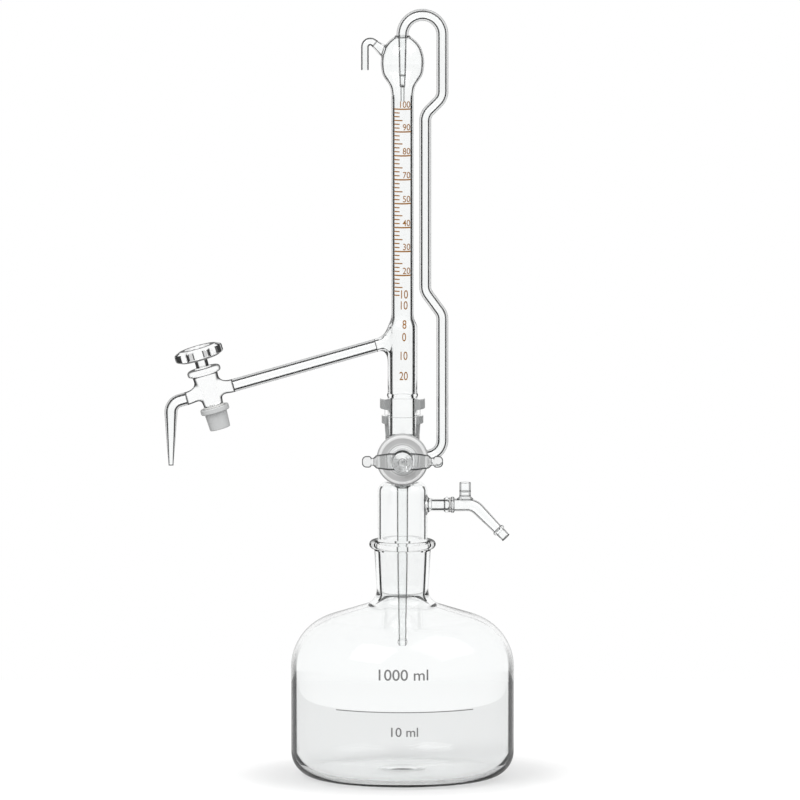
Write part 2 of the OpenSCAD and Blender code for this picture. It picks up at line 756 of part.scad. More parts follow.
// Frosted nut on the plug's shank: flange, then a tapered grip.
module end_nut(top, flange_r, flange_h, grip_r, end_r, grip_h, shank_r, recess_r, recess_h) {
    rotate_extrude()
        difference() {
            outline([[0, top - flange_h - grip_h, 0], [end_r, top - flange_h - grip_h, 0.6],
                [grip_r, top - flange_h, 0.5], [flange_r, top - flange_h, 0.7],
                [flange_r, top, 0.7], [0, top, 0]]);
            translate([0, top - recess_h]) square([recess_r, recess_h + cut]);
            translate([0, top - flange_h - grip_h + 1.6]) square([shank_r, flange_h + grip_h]);
            translate([0, top - flange_h - grip_h - cut]) square([end_r - 1.8, 1.2 + cut]);
        }
}

module main_nut() {
    color([0.72, 0.74, 0.75])
        at_main() end_nut(-barrel_back - slip - 1, 10.2, 3.6, 8, 7.2, 9.6, 3.5, 5.9, 2.2);
}

// Plug of the arm stopcock: ground cone with a straight way, stem above, shank below.
module arm_plug() {
    top_r = tap_plug_r - plug_gap;
    top = tap_top + 0.4;
    low = tap_bottom + 0.3;
    color([0.82, 0.86, 0.87, 0.5])
        at_tap()
            difference() {
                rotate_extrude()
                    outline([[0, -low - 11, 0], [2.6, -low - 11, 0.4], [2.6, -low, 0.3],
                        [top_r - taper * (tap_len + 0.3), -low, 0], [top_r + taper * 0.4, top, 0.4],
                        [3.9, top, 0.5], [3.9, top + 5.2, 0], [0, top + 5.2, 0]]);
                translate([-tap_plug_d, 0, 0]) rotate([0, 90, 0]) cylinder(h = 2 * tap_plug_d, r = 1.4);
            }
}

// Fluted knob: thick lens-shaped disc with hollow flutes round its edge.
module arm_knob() {
    base = tap_top + 5.6;
    knob_r = knob_d / 2;
    flute_r = knob_r * 0.3;
    color([0.82, 0.86, 0.87, 0.5])
        at_tap()
            difference() {
                rotate_extrude()
                    outline([[0, base, 0], [knob_r - 3.4, base, 2], [knob_r, base + 1.6, 1.2],
                        [knob_r, base + knob_t - 1.6, 1.2], [knob_r - 3.4, base + knob_t, 2],
                        [0, base + knob_t, 0]]);
                for (i = [0 : knob_flutes - 1])
                    rotate([0, 0, 360 * (i + 0.5) / knob_flutes])
                        translate([knob_r + flute_r * 0.72, 0, base - cut])
                            cylinder(h = knob_t + 2 * cut, r = flute_r);
            }
}

// Soft washer that runs on the lower end of the arm's barrel.
module arm_washer() {
    color([0.9, 0.9, 0.88])
        at_tap() translate([0, 0, -tap_bottom - slip - 0.8]) pipe(0.8, 6.4, tap_plug_r - taper * tap_len);
}

module arm_o_ring() {
    color([0.12, 0.12, 0.12])
        at_tap() translate([0, 0, -tap_bottom - slip - 1.8]) ring(3.7, 1);
}

module arm_nut() {
    color([0.72, 0.74, 0.75])
        at_tap() end_nut(-tap_bottom - slip - 0.8, 8.75, 3.4, 6.85, 6.25, 10.4, 2.6, 4.8, 2);
}

// Air connector: spigot in the port, second bead, tube and down-turned spout.
module air_connector() {
    way = 1.9;
    run = pipe_x - connector_x + 1.4;
    lead = connector_x + run;
    color([0.86, 0.9, 0.91, 0.35])
        at_port()
            difference() {
                union() {
                    rotate_extrude()
                        outline([[0, connector_x - spigot_len, 0], [spigot_r, connector_x - spigot_len, 0.4],
                            [spigot_r, connector_x, 0], [coupling_r, connector_x, 0.8],
                            [coupling_r, connector_x + bead_t, 0.8], [port_r, connector_x + bead_t, 0.6],
                            [port_r, lead, 0], [0, lead, 0]]);
                    translate([0, 0, lead]) {
                        bend(spout_angle, spout_bend_r, port_r, way);
                        spout_place()
                            cylinder(h = spout_len, r1 = port_r, r2 = hose_end_d / 2 + 0.1);
                    }
                }
                translate([0, 0, connector_x - spigot_len - cut])
                    cylinder(h = spigot_len + run + cut, r = way);
                translate([0, 0, lead])
                    spout_place()
                        cylinder(h = spout_len + cut, r = way);
                translate([0, 0, pipe_x]) rotate([0, -90, 0]) cylinder(h = 2 * port_r, r = 2.2);
            }
}

// End of the spout's bend, with +Z along the spout.
module spout_place() {
    translate([spout_bend_r * (1 - cos(spout_angle)), 0, spout_bend_r * sin(spout_angle)])
        rotate([0, spout_angle, 0])
            children();
}

// Finger-vent pipe that stands on the connector: closed by a finger, it sends the air to the bottle.
module vent_pipe() {
    color([0.86, 0.9, 0.91, 0.35])
        difference() {
            translate([pipe_x, 0, port_z])
                rotate_extrude()
                    outline([[2.2, 0, 0], [3.45, 0, 0], [3.45, vent_pipe_h, 0.5], [2.2, vent_pipe_h, 0.3]]);
            at_port() translate([0, 0, connector_x + bead_t + 0.2]) cylinder(h = 16, r = port_r);
            at_port()
                translate([0, 0, pipe_x + 1.4])
                    bend(spout_angle, spout_bend_r, port_r, 0);
        }
}

// Hose end: bead that stops the hose, then a plain end.
module hose_end() {
    way = 1.9;
    bead_r = hose_end_d / 2 + 1;
    color([0.86, 0.9, 0.91, 0.35])
        at_port() translate([0, 0, pipe_x + 1.4]) spout_place() translate([0, 0, spout_len])
            rotate_extrude()
                difference() {
                    outline([[0, 0, 0], [bead_r, 0, 0.9], [bead_r, 2.4, 0.9],
                        [hose_end_d / 2, 2.4, 0], [hose_end_d / 2, 2.4 + hose_end_len, 0.4],
                        [0, 2.4 + hose_end_len, 0]]);
                    translate([0, -cut]) square([way, 4 + hose_end_len + 2 * cut]);
                }
}

bottle();
head_chamber();
air_port();
dip_tube();
main_barrel();
foot_socket();
joint_clip();
burette_tube();
overflow_bulb();
fill_jet();
vent_stub();
vent_elbow();
fill_tube();
delivery_arm();
arm_barrel();
delivery_tip();
coupling_washer();
main_plug();
main_handle();
main_washer();
main_o_ring();
main_nut();
arm_plug();
arm_knob();
arm_washer();
arm_o_ring();
arm_nut();
air_connector();
vent_pipe();
hose_end();
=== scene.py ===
import bpy
import bmesh
import math
from mathutils import Matrix, Vector


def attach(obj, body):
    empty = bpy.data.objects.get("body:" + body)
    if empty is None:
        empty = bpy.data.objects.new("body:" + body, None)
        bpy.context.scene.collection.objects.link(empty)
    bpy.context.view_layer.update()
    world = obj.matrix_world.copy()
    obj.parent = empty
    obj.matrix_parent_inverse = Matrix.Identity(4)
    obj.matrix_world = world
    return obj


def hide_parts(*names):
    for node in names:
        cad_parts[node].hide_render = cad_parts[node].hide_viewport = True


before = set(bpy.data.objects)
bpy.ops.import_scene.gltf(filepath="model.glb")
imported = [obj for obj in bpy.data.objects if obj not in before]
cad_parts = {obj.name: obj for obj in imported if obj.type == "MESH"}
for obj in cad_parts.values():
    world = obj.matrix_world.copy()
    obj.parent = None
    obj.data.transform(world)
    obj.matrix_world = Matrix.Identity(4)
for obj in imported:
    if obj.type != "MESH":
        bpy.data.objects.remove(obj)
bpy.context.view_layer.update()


# Photo table: a pale floor, a white surround and two soft boxes, with a long lens seven degrees above
# level, so that the glass stands against white and keeps a soft shadow under its base, partly cast and
# partly painted into the floor's glow.
class Wire:
    """A value in a finish's tree of shader nodes. A sum written on Wires adds the Math nodes for it."""
    def __init__(self, finish, socket):
        self.finish = finish
        self.socket = socket

    def maths(self, operation, first, second):
        return self.finish.node("ShaderNodeMath", {"operation": operation}, {0: first, 1: second})

    def __add__(self, other):
        return self.maths("ADD", self, other)

    __radd__ = __add__

    def __mul__(self, other):
        return self.maths("MULTIPLY", self, other)

    __rmul__ = __mul__

    def __sub__(self, other):
        return self.maths("SUBTRACT", self, other)

    def __rsub__(self, other):
        return self.maths("SUBTRACT", other, self)

    def __pow__(self, other):
        return self.maths("POWER", self, other)

    def most(self, other):
        return self.maths("MAXIMUM", self, other)

    def ramp(self, low, high):
        """A soft climb from 0 at low to 1 at high."""
        return self.finish.node("ShaderNodeMapRange", {"interpolation_type": "SMOOTHSTEP"},
                                {"Value": self, "From Min": low, "From Max": high})


class Finish:
    """The shader tree of a material, or of the surround."""
    def __init__(self, name, surround=None):
        self.material = surround or bpy.data.materials.new(name)
        self.material.use_nodes = True
        self.tree = self.material.node_tree
        self.tree.nodes.clear()

    def node(self, kind, settings=None, inputs=None, out=0):
        made = self.tree.nodes.new(kind)
        for key, value in (settings or {}).items():
            if key == "stops":
                while len(made.color_ramp.elements) < len(value):
                    made.color_ramp.elements.new(0.5)
                for element, (place, grey) in zip(made.color_ramp.elements, value):
                    element.position = place
                    element.color = (grey, grey, grey, 1) if isinstance(grey, (int, float)) else grey
            else:
                setattr(made, key, value)
        for key, value in (inputs or {}).items():
            if isinstance(value, Wire):
                self.tree.links.new(value.socket, made.inputs[key])
            else:
                made.inputs[key].default_value = value
        return Wire(self, made.outputs[out])

    def place(self):
        return self.node("ShaderNodeTexCoord", out="Object")

    def part(self, letter, vector):
        return self.node("ShaderNodeSeparateXYZ", None, {0: vector}, out=letter)

    def vector(self, operation, *parts, out=0):
        return self.node("ShaderNodeVectorMath", {"operation": operation}, dict(enumerate(parts)), out)

    def noise(self, place, scale, detail):
        return self.node("ShaderNodeTexNoise", None, {"Vector": place, "Scale": scale, "Detail": detail})

    def facing(self, normal=None):
        """0 where a surface is met square on, 1 where it is met edge on."""
        way = {"Blend": 0.5, "Normal": normal} if normal else {"Blend": 0.5}
        return self.node("ShaderNodeLayerWeight", None, way, out="Facing")

    def behind(self):
        return self.node("ShaderNodeNewGeometry", out="Backfacing")

    def ray(self, kind):
        return self.node("ShaderNodeLightPath", out=f"Is {kind} Ray")

    def tint(self, share, first, second):
        return self.node("ShaderNodeMix", {"data_type": "RGBA"},
                         {"Factor": share, "A": first, "B": second}, out=2)

    def grained(self, fine):
        """The fine tooth of a ground or moulded face."""
        return self.node("ShaderNodeBump", None, {"Height": fine, "Strength": 0.25, "Distance": 0.00008})

    def dark(self):
        """A near black diffuse, painted on glass edges as the shade and dark reflections they show against
        white, and laid on seams.
        """
        return self.node("ShaderNodeBsdfDiffuse", None, {"Color": (0.02, 0.021, 0.021, 1)})

    def blend(self, share, first, second):
        return self.node("ShaderNodeMixShader", None, {0: share, 1: first, 2: second})

    def done(self, shader, end="ShaderNodeOutputMaterial"):
        last = self.tree.nodes.new(end)
        self.tree.links.new(shader.socket, last.inputs["Surface"])
        return self.material


def pick(*pieces):
    """Selects just these pieces, and makes the first one active."""
    bpy.ops.object.select_all(action="DESELECT")
    for piece in pieces:
        piece.select_set(True)
    if pieces:
        bpy.context.view_layer.objects.active = pieces[0]


MM = 0.001
view_rise = math.radians(7)
camera_far = 12.0
aim = Vector((-1.5, 0, 227.3)) * MM
bpy.ops.object.camera_add()
camera = bpy.context.object
camera.data.lens = 900
camera.data.sensor_width = 36
camera.data.clip_end = 60
camera.location = aim + camera_far * Vector((0, -math.cos(view_rise), math.sin(view_rise)))
camera.rotation_euler = (math.pi / 2 - view_rise, 0, 0)
scene = bpy.context.scene
scene.camera = camera
scene.view_settings.view_transform = "Standard"
glass_walls = 24
scene.cycles.max_bounces = glass_walls
scene.cycles.transmission_bounces = glass_walls
scene.cycles.transparent_max_bounces = glass_walls

scene.world = bpy.data.worlds.new("white_surround")
surround = Finish("white_surround", scene.world)
room_level = 0.62
shown = surround.ray("Camera").most(surround.ray("Transmission").most(surround.ray("Glossy")))
sky = surround.node("ShaderNodeBackground", None, {
    "Color": (1, 1, 1, 1), "Strength": room_level + (1 - room_level) * shown})
surround.done(sky, "ShaderNodeOutputWorld")

for spot, wide, power in (((-0.9, -0.9, 1.6), 1.2, 16), ((0.9, -0.3, 1.5), 1.4, 9)):
    bpy.ops.object.light_add(type="AREA", location=spot)
    soft_box = bpy.context.object
    soft_box.data.size = wide
    soft_box.data.energy = power
    soft_box.rotation_euler = (Vector((0, 0, 0.2)) - soft_box.location).to_track_quat("-Z", "Y").to_euler()

# The floor's glow is weaker near the bottle, which paints a soft shadow round its foot on top of the
# shadow that it casts. Seen through the glass, the floor is paler beyond a curved border behind the bottle.
pick()
bpy.ops.mesh.primitive_plane_add(size=1, location=(0, -1.88, -0.0002))
floor = bpy.context.object
floor.name = "floor"
floor.scale = (8, 4.6, 1)
bpy.ops.object.transform_apply(location=True, scale=True)
paper = Finish("pale_floor")
sheet = paper.place()
sheet_x, sheet_y = paper.part("X", sheet), paper.part("Y", sheet)
# Painted shadow: the glow that the camera sees climbs from 0.36 beside the bottle to 0.62 away from it.
pale = paper.vector("LENGTH", sheet, out="Value").ramp(0.06, 0.13)
beyond = (sheet_y - 10 * sheet_x * sheet_x).ramp(0.272, 0.278)
light = (0.36 + 0.26 * pale) * paper.ray("Camera") + (0.34 + 0.14 * beyond) * paper.ray("Transmission")
glow = paper.node("ShaderNodeEmission", None, {"Color": light, "Strength": 1.0})
matt = paper.node("ShaderNodeBsdfDiffuse", None, {"Color": (0.5, 0.5, 0.5, 1)})
floor.data.materials.append(paper.done(paper.node("ShaderNodeAddShader", None, {0: matt, 1: glow})))


# Reservoir bottle: blown from clear borosilicate glass, with a rounded heel, a domed shoulder and a
# flared neck that is ground inside and ends in a fire-polished bead. It stands free on the bench.
def up(z):
    return Vector((0, 0, z))


def rounded(points, per=9):
    """Points [x, y, corner radius] as a list of (x, y), each corner replaced by its arc."""
    made = []
    for i, (x, y, r) in enumerate(points):
        here = Vector((x, y))
        if r == 0:
            made.append((x, y))
            continue
        back = (Vector(points[i - 1][:2]) - here).normalized()
        ahead = (Vector(points[(i + 1) % len(points)][:2]) - here).normalized()
        half = math.acos(max(-1, min(1, back.dot(ahead)))) / 2
        centre = here + (back + ahead).normalized() * r / math.sin(half)
        first = here + back * r / math.tan(half) - centre
        sweep = math.pi - 2 * half
        way = 1 if back.x * ahead.y - back.y * ahead.x < 0 else -1
        for k in range(per + 1):
            a = way * sweep * k / per
            made.append((centre.x + first.x * math.cos(a) - first.y * math.sin(a),
                         centre.y + first.x * math.sin(a) + first.y * math.cos(a)))
    return made


def bead(x, y, r, start, end, per=14):
    """Points of an arc about (x, y) from start to end degrees."""
    turns = [math.radians(start + (end - start) * k / per) for k in range(per + 1)]
    return [(x + r * math.cos(a), y + r * math.sin(a)) for a in turns]


def weld(near=1e-7):
    """Joins the points that lie on each other."""
    bpy.ops.mesh.select_all(action="SELECT")
    bpy.ops.mesh.remove_doubles(threshold=near)


def turned(name, section, closed=True, steps=96):
    """A piece turned about the Z axis from its section of (radius, height), in millimetres."""
    pick()
    bpy.ops.mesh.primitive_plane_add(size=0.001)
    piece = bpy.context.object
    piece.name = piece.data.name = name
    bpy.ops.object.mode_set(mode="EDIT")
    bpy.ops.mesh.merge(type="CENTER")
    bpy.ops.transform.translate(value=(section[0][0] * MM, 0, section[0][1] * MM))
    for (r, z), (next_r, next_z) in zip(section, section[1:] + (section[:1] if closed else [])):
        step = ((next_r - r) * MM, 0, (next_z - z) * MM)
        bpy.ops.mesh.extrude_vertices_move(TRANSFORM_OT_translate={"value": step})
    weld()
    bpy.ops.mesh.spin(steps=steps, angle=math.tau, center=(0, 0, 0), axis=(0, 0, 1))
    weld()
    bpy.ops.mesh.normals_make_consistent(inside=False)
    bpy.ops.object.mode_set(mode="OBJECT")
    return piece


def settle(piece, body, *nodes, place=Matrix(), slot="clear_glass"):
    """Puts a piece in its place in the shared frame, and lets it ride on its body for its nodes."""
    pick(piece)
    bpy.ops.object.shade_smooth_by_angle(angle=math.radians(32))
    piece.matrix_world = place
    bpy.ops.object.transform_apply(location=True, rotation=True, scale=True)
    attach(piece, body)
    if nodes:
        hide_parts(*nodes)


def glass(name, start, full, depth, shine=0.5, slant=None, clear=0.85, veil=0.0, bend=1.47, fade=0.05,
          till=None, upright=False):
    """Clear drawn glass. Where a wall is met nearly edge on, from start to full, a near black is painted on it
    by depth, as the shade and dark reflections that its edges show, and a bore is painted dark too at the
    slant where light stops passing into it. Clear is the share of light that reaches what stands behind it,
    and a veil of that near black lies evenly over a seam. Lines fade out between two heights till.
    On an upright tube they keep their width when it is seen from above."""
    finish = Finish("clear_glass_" + name)
    place = finish.place()
    waves = finish.noise(place, 45.0, 1.0)
    dust = finish.noise(place, 90.0, 3.0)
    facing = finish.facing()
    behind = finish.behind()
    if upright:
        axis = finish.node("ShaderNodeCombineXYZ", None, {"Z": 1.0})
        steep = 1 - finish.facing(axis)
        widen = (1 - steep * steep).most(0.05) ** -0.5
        facing = 1 - (1 - facing) * (widen * math.cos(view_rise)).most(1.0)
    edge = facing.ramp(start, full)
    tone = finish.tint(dust, (0.99, 0.995, 0.993, 1), (0.975, 0.985, 0.985, 1))
    wave = finish.node("ShaderNodeBump", None, {"Height": waves, "Strength": 0.015, "Distance": 0.0004})
    body = finish.node("ShaderNodeBsdfPrincipled", None, {
        "Base Color": tone, "Roughness": 0.01 * dust, "Normal": wave,
        "IOR": bend, "Transmission Weight": 1.0, "Specular IOR Level": shine})
    # The dark lines are painted: a near black diffuse mixed in by the edge's share, for shade and dark
    # reflections.
    line = finish.dark()
    edge = veil + (1 - behind) * edge * (depth - veil)
    if slant:
        low, high = slant
        rise = facing.ramp(low - fade, low)
        fall = facing.ramp(high, high + fade)
        edge = edge + behind * rise * (1 - fall) * depth
    if till:
        height = finish.part("Z", place)
        edge = edge * height.ramp(till[1] * MM, till[0] * MM)
    wall = finish.blend(edge, body, line)
    shadow = finish.ray("Shadow")
    passing = finish.node("ShaderNodeBsdfTransparent")
    return finish.done(finish.blend(shadow * clear, wall, passing))


def coat(piece, *finishes):
    """Gives a piece its finishes, the first all over."""
    piece.data.materials.clear()
    for finish in finishes:
        piece.data.materials.append(finish)


def glaze(piece, outer, bore, centre=None):
    """One finish outside, and another on the faces that look at the piece's centre line."""
    coat(piece, outer, bore)
    for face in piece.data.polygons:
        middle = centre(face.center) if centre else up(face.center.z)
        out = face.center - middle
        if out.length > 1e-6 and face.normal.dot(out.normalized()) < -0.3:
            face.material_index = 1


def mark(piece, finish, chosen):
    """A further finish on the faces that chosen(centre, normal) picks, with lengths in millimetres."""
    piece.data.materials.append(finish)
    for face in piece.data.polygons:
        if chosen(face.center / MM, face.normal):
            face.material_index = len(piece.data.materials) - 1


def off_axis(c):
    return math.hypot(c.x, c.y)


def outward(c, n):
    return n.x * c.x + n.y * c.y > 0


def inward(c, n):
    return n.x * c.x + n.y * c.y < 0


def matched(name, milk=0.02, rim=0.0):
    """Ground faces that lie wet on each other, so that light passes as through one piece of glass, with a
    little milk in it. A painted dark rim shows where they are met nearly edge on."""
    finish = Finish("clear_glass_" + name)
    place = finish.place()
    cloud = finish.noise(place, 400.0, 2.0)
    passing = finish.node("ShaderNodeBsdfTransparent")
    haze = finish.node("ShaderNodeBsdfDiffuse", None, {"Color": (0.7, 0.7, 0.7, 1)})
    film = finish.blend(milk * cloud, passing, haze)
    if not rim:
        return finish.done(film)
    # Painted dark rim where the wet faces are met edge on.
    facing = finish.facing()
    edge = facing.ramp(0.6, 0.92)
    line = finish.dark()
    return finish.done(finish.blend(rim * edge, film, line))


blown = dict(shine=0.25, clear=0.3, bend=1.3)
# These finishes paint dark lines where the bottle's walls, neck and lip are seen edge on, and the ring finish
# paints a ring of faces under the shoulder, inside, dark all over, as the dark arc at the neck's foot.
bottle_wall = glass("bottle", 0.82, 0.99, 0.5, **blown)
bottle_bore = glass("bottle_inside", 0.86, 0.97, 0.9, **blown)
bottle_side = glass("bottle_side", 0.84, 0.95, 0.92, slant=(0.347, 0.374), fade=0.01,
                    till=(58, 84), **blown)
bottle_neck = glass("bottle_neck", 0.7, 0.9, 0.95, slant=(0.32, 0.374), fade=0.02, **blown)
bottle_lip = glass("bottle_lip", 0.55, 0.85, 0.85, **dict(blown, bend=1.1))
bottle_ring = glass("bottle_ring", -0.2, -0.1, 0.85, **blown)
bottle_r, bottle_bore_r, neck_bore_r, floor_z = 66.9, 65.0, 13.2, 3.2
bottle_outside = rounded([[0, 0, 0], [bottle_r, 0, 15], [bottle_r, 89.249, 32], [15.0, 105.918, 10],
                          [16.95, 136.6, 0]], 16)
bottle_rim = bead(17.3, 140.118, 2.65, -100, 176, 20)
bottle_inside = rounded([
    [14.6, 140.2, 0], [14.448, 137.2, 0], [neck_bore_r, 112.5, 0], [neck_bore_r, 103.852, 8],
    [bottle_bore_r, 87.249, 30], [bottle_bore_r, floor_z, 13], [15, floor_z, 3], [9, 3.7, 3], [0, 3.7, 0]], 16)
bottle = turned("bottle_glass", bottle_outside + bottle_rim + bottle_inside, closed=False, steps=160)
glaze(bottle, bottle_wall, bottle_bore)
mark(bottle, bottle_side, lambda c, n: 10 < c.z < 92 and inward(c, n) and abs(n.z) < 0.8)
mark(bottle, bottle_neck, lambda c, n: 104 < c.z < 138 and inward(c, n))
mark(bottle, bottle_ring, lambda c, n: 100 < c.z < 110 and -0.74 < n.z < -0.5 and inward(c, n))
mark(bottle, bottle_lip, lambda c, n: c.z > 136.8 and off_axis(c) > 14.75)
mark(bottle, matched("neck_seat"), lambda c, n: 137.1 < c.z < 140.3 and off_axis(c) < 14.75)
settle(bottle, "bottle", "bottle")


# Printing on the bottle: its volume above a thin line and the burette's below it, in grey enamel that is
# screened on the wall and fired.
def rows(skin, start, end, step):
    """Evenly spaced points along a skin of (radius, height), between two heights."""
    count = max(1, round(abs(end - start) / step))
    made = []
    for k in range(count + 1):
        z = start + (end - start) * k / count
        for (r0, z0), (r1, z1) in zip(skin, skin[1:]):
            if min(z0, z1) <= z <= max(z0, z1) and z0 != z1:
                made.append((r0 + (r1 - r0) * (z - z0) / (z1 - z0), z))
                break
    return made


def lettered(words, x, z, tall, wide, side):
    """Plain numbers as a thin flat mesh, at x along the wall and z up it."""
    pick()
    bpy.ops.object.text_add(location=(x * MM, z * MM, 0))
    mark_made = bpy.context.object
    mark_made.data.body = words
    mark_made.data.align_x = side
    mark_made.data.size = tall / 0.7 * MM
    mark_made.data.extrude = 0.012 * MM
    mark_made.data.offset = 0.011 * tall * MM
    mark_made.scale = (wide, 1, 1)
    bpy.ops.object.convert(target="MESH")
    bpy.ops.object.transform_apply(location=True, scale=True)
    return bpy.context.object


def ruled(start, end, z, thick):
    """A thin flat line from start to end along the wall."""
    pick()
    bpy.ops.mesh.primitive_cube_add(size=1, location=((start + end) / 2 * MM, z * MM, 0))
    bpy.context.object.scale = ((end - start) * MM, thick * MM, 0.024 * MM)
    bpy.ops.object.transform_apply(location=True, scale=True)
    return bpy.context.object


def printed(name, marks, skin, cut, ink, body):
    """Joins flat marks, cuts them upright every cut millimetres and presses them from the front on a skin of
    (radius, height)."""
    pick(*marks)
    bpy.ops.object.join()
    piece = bpy.context.object
    piece.name = piece.data.name = name
    reach = max(abs(v.co.x) for v in piece.data.vertices)
    bpy.ops.object.mode_set(mode="EDIT")
    weld()
    for k in range(-int(reach / cut / MM), int(reach / cut / MM) + 1):
        bpy.ops.mesh.select_all(action="SELECT")
        bpy.ops.mesh.bisect(plane_co=((k + 0.01) * cut * MM, 0, 0), plane_no=(1, 0, 0))
    bpy.ops.object.mode_set(mode="OBJECT")
    heights = [v.co.y / MM for v in piece.data.vertices]
    middle = rows(skin, min(heights), max(heights), 0.2)
    for vert in piece.data.vertices:
        z = vert.co.y / MM
        r = min(middle, key=lambda spot: abs(spot[1] - z))[0] + 0.03 + vert.co.z / MM
        turn = math.asin(max(-0.98, min(0.98, vert.co.x / MM / r)))
        vert.co = Vector((r * math.sin(turn), -r * math.cos(turn), z)) * MM
    coat(piece, ink)
    settle(piece, body, slot="soft_white")


def enamel(name, tone, worn):
    """Fired printing colour: slightly uneven and satin."""
    finish = Finish(name)
    place = finish.place()
    cloud = finish.noise(place, 900.0, 3.0)
    shade = finish.tint(cloud, (*tone, 1), (*worn, 1))
    return finish.done(finish.node("ShaderNodeBsdfPrincipled", None, {
        "Base Color": shade, "Roughness": 0.35 + 0.3 * cloud}))


grey_ink = enamel("grey_enamel", (0.2, 0.2, 0.2), (0.27, 0.27, 0.27))
bottle_marks = [lettered("1000 ml", -0.1, 66.5, 6.5, 1.06, "CENTER"),
                lettered("10 ml", 0.7, 32.6, 5.5, 1.02, "CENTER"), ruled(-39.8, 42.3, 47.2, 0.55)]
printed("bottle_print", bottle_marks, bottle_outside, 2.0, grey_ink, "bottle")


# Head chamber: a blown cap with a ground cone at its foot that stands in the bottle's neck, a straight
# wall, a dome and a short stem for the stopcock. The side port, with its bead, is sealed into its wall.
def meet(skin, foot, way):
    """The point where a ray from the axis at height foot meets a skin of (radius, height) points."""
    out = math.hypot(way.x, way.y)
    best = None
    for (r0, z0), (r1, z1) in zip(skin, skin[1:]):
        side0 = r0 * way.z - (z0 - foot) * out
        side1 = r1 * way.z - (z1 - foot) * out
        if side0 == side1 or side0 * side1 > 0:
            continue
        share = side0 / (side0 - side1)
        r = r0 + (r1 - r0) * share
        z = z0 + (z1 - z0) * share - foot
        far = r * out + z * way.z
        if far > 0 and (best is None or far < best):
            best = far
    return up(foot) + way * (best or 1e6)


def sealed_on(piece, foot, look, wide, tall, outside, inside, out_path, in_path, heading=None, root=None,
              inner=None, soft=0.45):
    """Opens a turned piece round a ray and seals a side tube on, with a drawn fillet, inside and out. The ray
    leaves the axis at height foot along look; wide and tall are the mouth's half angles in degrees; out_path
    and in_path are the tube's (distance, radius) along heading, out on its skin and back in its bore."""
    heading = heading or look
    side = Vector((1, 0, 0)) if abs(look.y) > 0.9 else Vector((0, 1, 0))
    mesh = bmesh.new()
    mesh.from_mesh(piece.data)
    ends = []
    sides = ((outside, out_path, (wide, tall)), (inside, in_path[::-1], inner or (wide, tall)))
    for skin, path, angles in sides:
        w, t = (math.radians(angle) for angle in angles)
        rise = side.cross(look)

        def lean(turn):
            return 1 / math.hypot(math.cos(turn) / w, math.sin(turn) / t)

        def spread(point):
            ray = (point / MM - up(foot)).normalized()
            turn = math.atan2(ray.dot(rise), ray.dot(side))
            return ray, turn, ray.angle(look) / lean(turn)

        def mouth(turn, part):
            tip = lean(turn) * part
            ray = look * math.cos(tip) + (side * math.cos(turn) + rise * math.sin(turn)) * math.sin(tip)
            return meet(skin, foot, ray)

        gone = []
        for face in mesh.faces:
            middle = face.calc_center_median()
            ray, turn, part = spread(middle)
            if part < 1 and (meet(skin, foot, ray) - middle / MM).length < 0.45:
                gone.append(face)
        bmesh.ops.delete(mesh, geom=gone, context="FACES")
        edges = [e for e in mesh.edges if e.is_boundary and spread(e.verts[0].co)[2] < 1.6
                 and (meet(skin, foot, spread(e.verts[0].co)[0]) - e.verts[0].co / MM).length < 0.45]
        ring = sorted({v for e in edges for v in e.verts}, key=lambda v: spread(v.co)[1])
        count = len(ring)
        first = spread(ring[0].co)[1]
        turns = []
        for k, vert in enumerate(ring):
            turn = 0.5 * spread(vert.co)[1] + 0.5 * (first + math.tau * k / count)
            turns.append(turn)
            vert.co = mouth(turn, 1) * MM
        lift = side.cross(heading)
        base = up(foot if root is None else root)

        def around(far, r):
            return [base + heading * far + (side * math.cos(a) + lift * math.sin(a)) * r for a in turns]

        rings = [ring]
        goal = around(*path[0])
        for step in range(1, 10):
            u = step / 10
            made = []
            for k, turn in enumerate(turns):
                start = mouth(turn, 1)
                pull = (mouth(turn, 0.96) - start).normalized()
                reach = soft * (goal[k] - start).length
                one = start + pull * reach
                two = goal[k] - heading * reach
                spot = (start * (1 - u) ** 3 + one * 3 * u * (1 - u) ** 2 + two * 3 * u * u * (1 - u)
                        + goal[k] * u ** 3)
                made.append(mesh.verts.new(spot * MM))
            rings.append(made)
        for far, r in path:
            rings.append([mesh.verts.new(spot * MM) for spot in around(far, r)])
        for near, next_ring in zip(rings, rings[1:]):
            for k in range(count):
                mesh.faces.new((near[k], near[(k + 1) % count], next_ring[(k + 1) % count], next_ring[k]))
        ends.append((rings[-1], turns))
    (one, turns_one), (two, turns_two) = ends
    i = j = 0
    while i < len(one) or j < len(two):
        at_one = turns_one[(i + 1) % len(one)] + math.tau * ((i + 1) // len(one)) if i < len(one) else 1e9
        at_two = turns_two[(j + 1) % len(two)] + math.tau * ((j + 1) // len(two)) if j < len(two) else 1e9
        if at_one <= at_two:
            mesh.faces.new((one[i % len(one)], one[(i + 1) % len(one)], two[j % len(two)]))
            i += 1
        else:
            mesh.faces.new((two[j % len(two)], two[(j + 1) % len(two)], one[i % len(one)]))
            j += 1
    bmesh.ops.recalc_face_normals(mesh, faces=mesh.faces)
    mesh.to_mesh(piece.data)
    mesh.free()


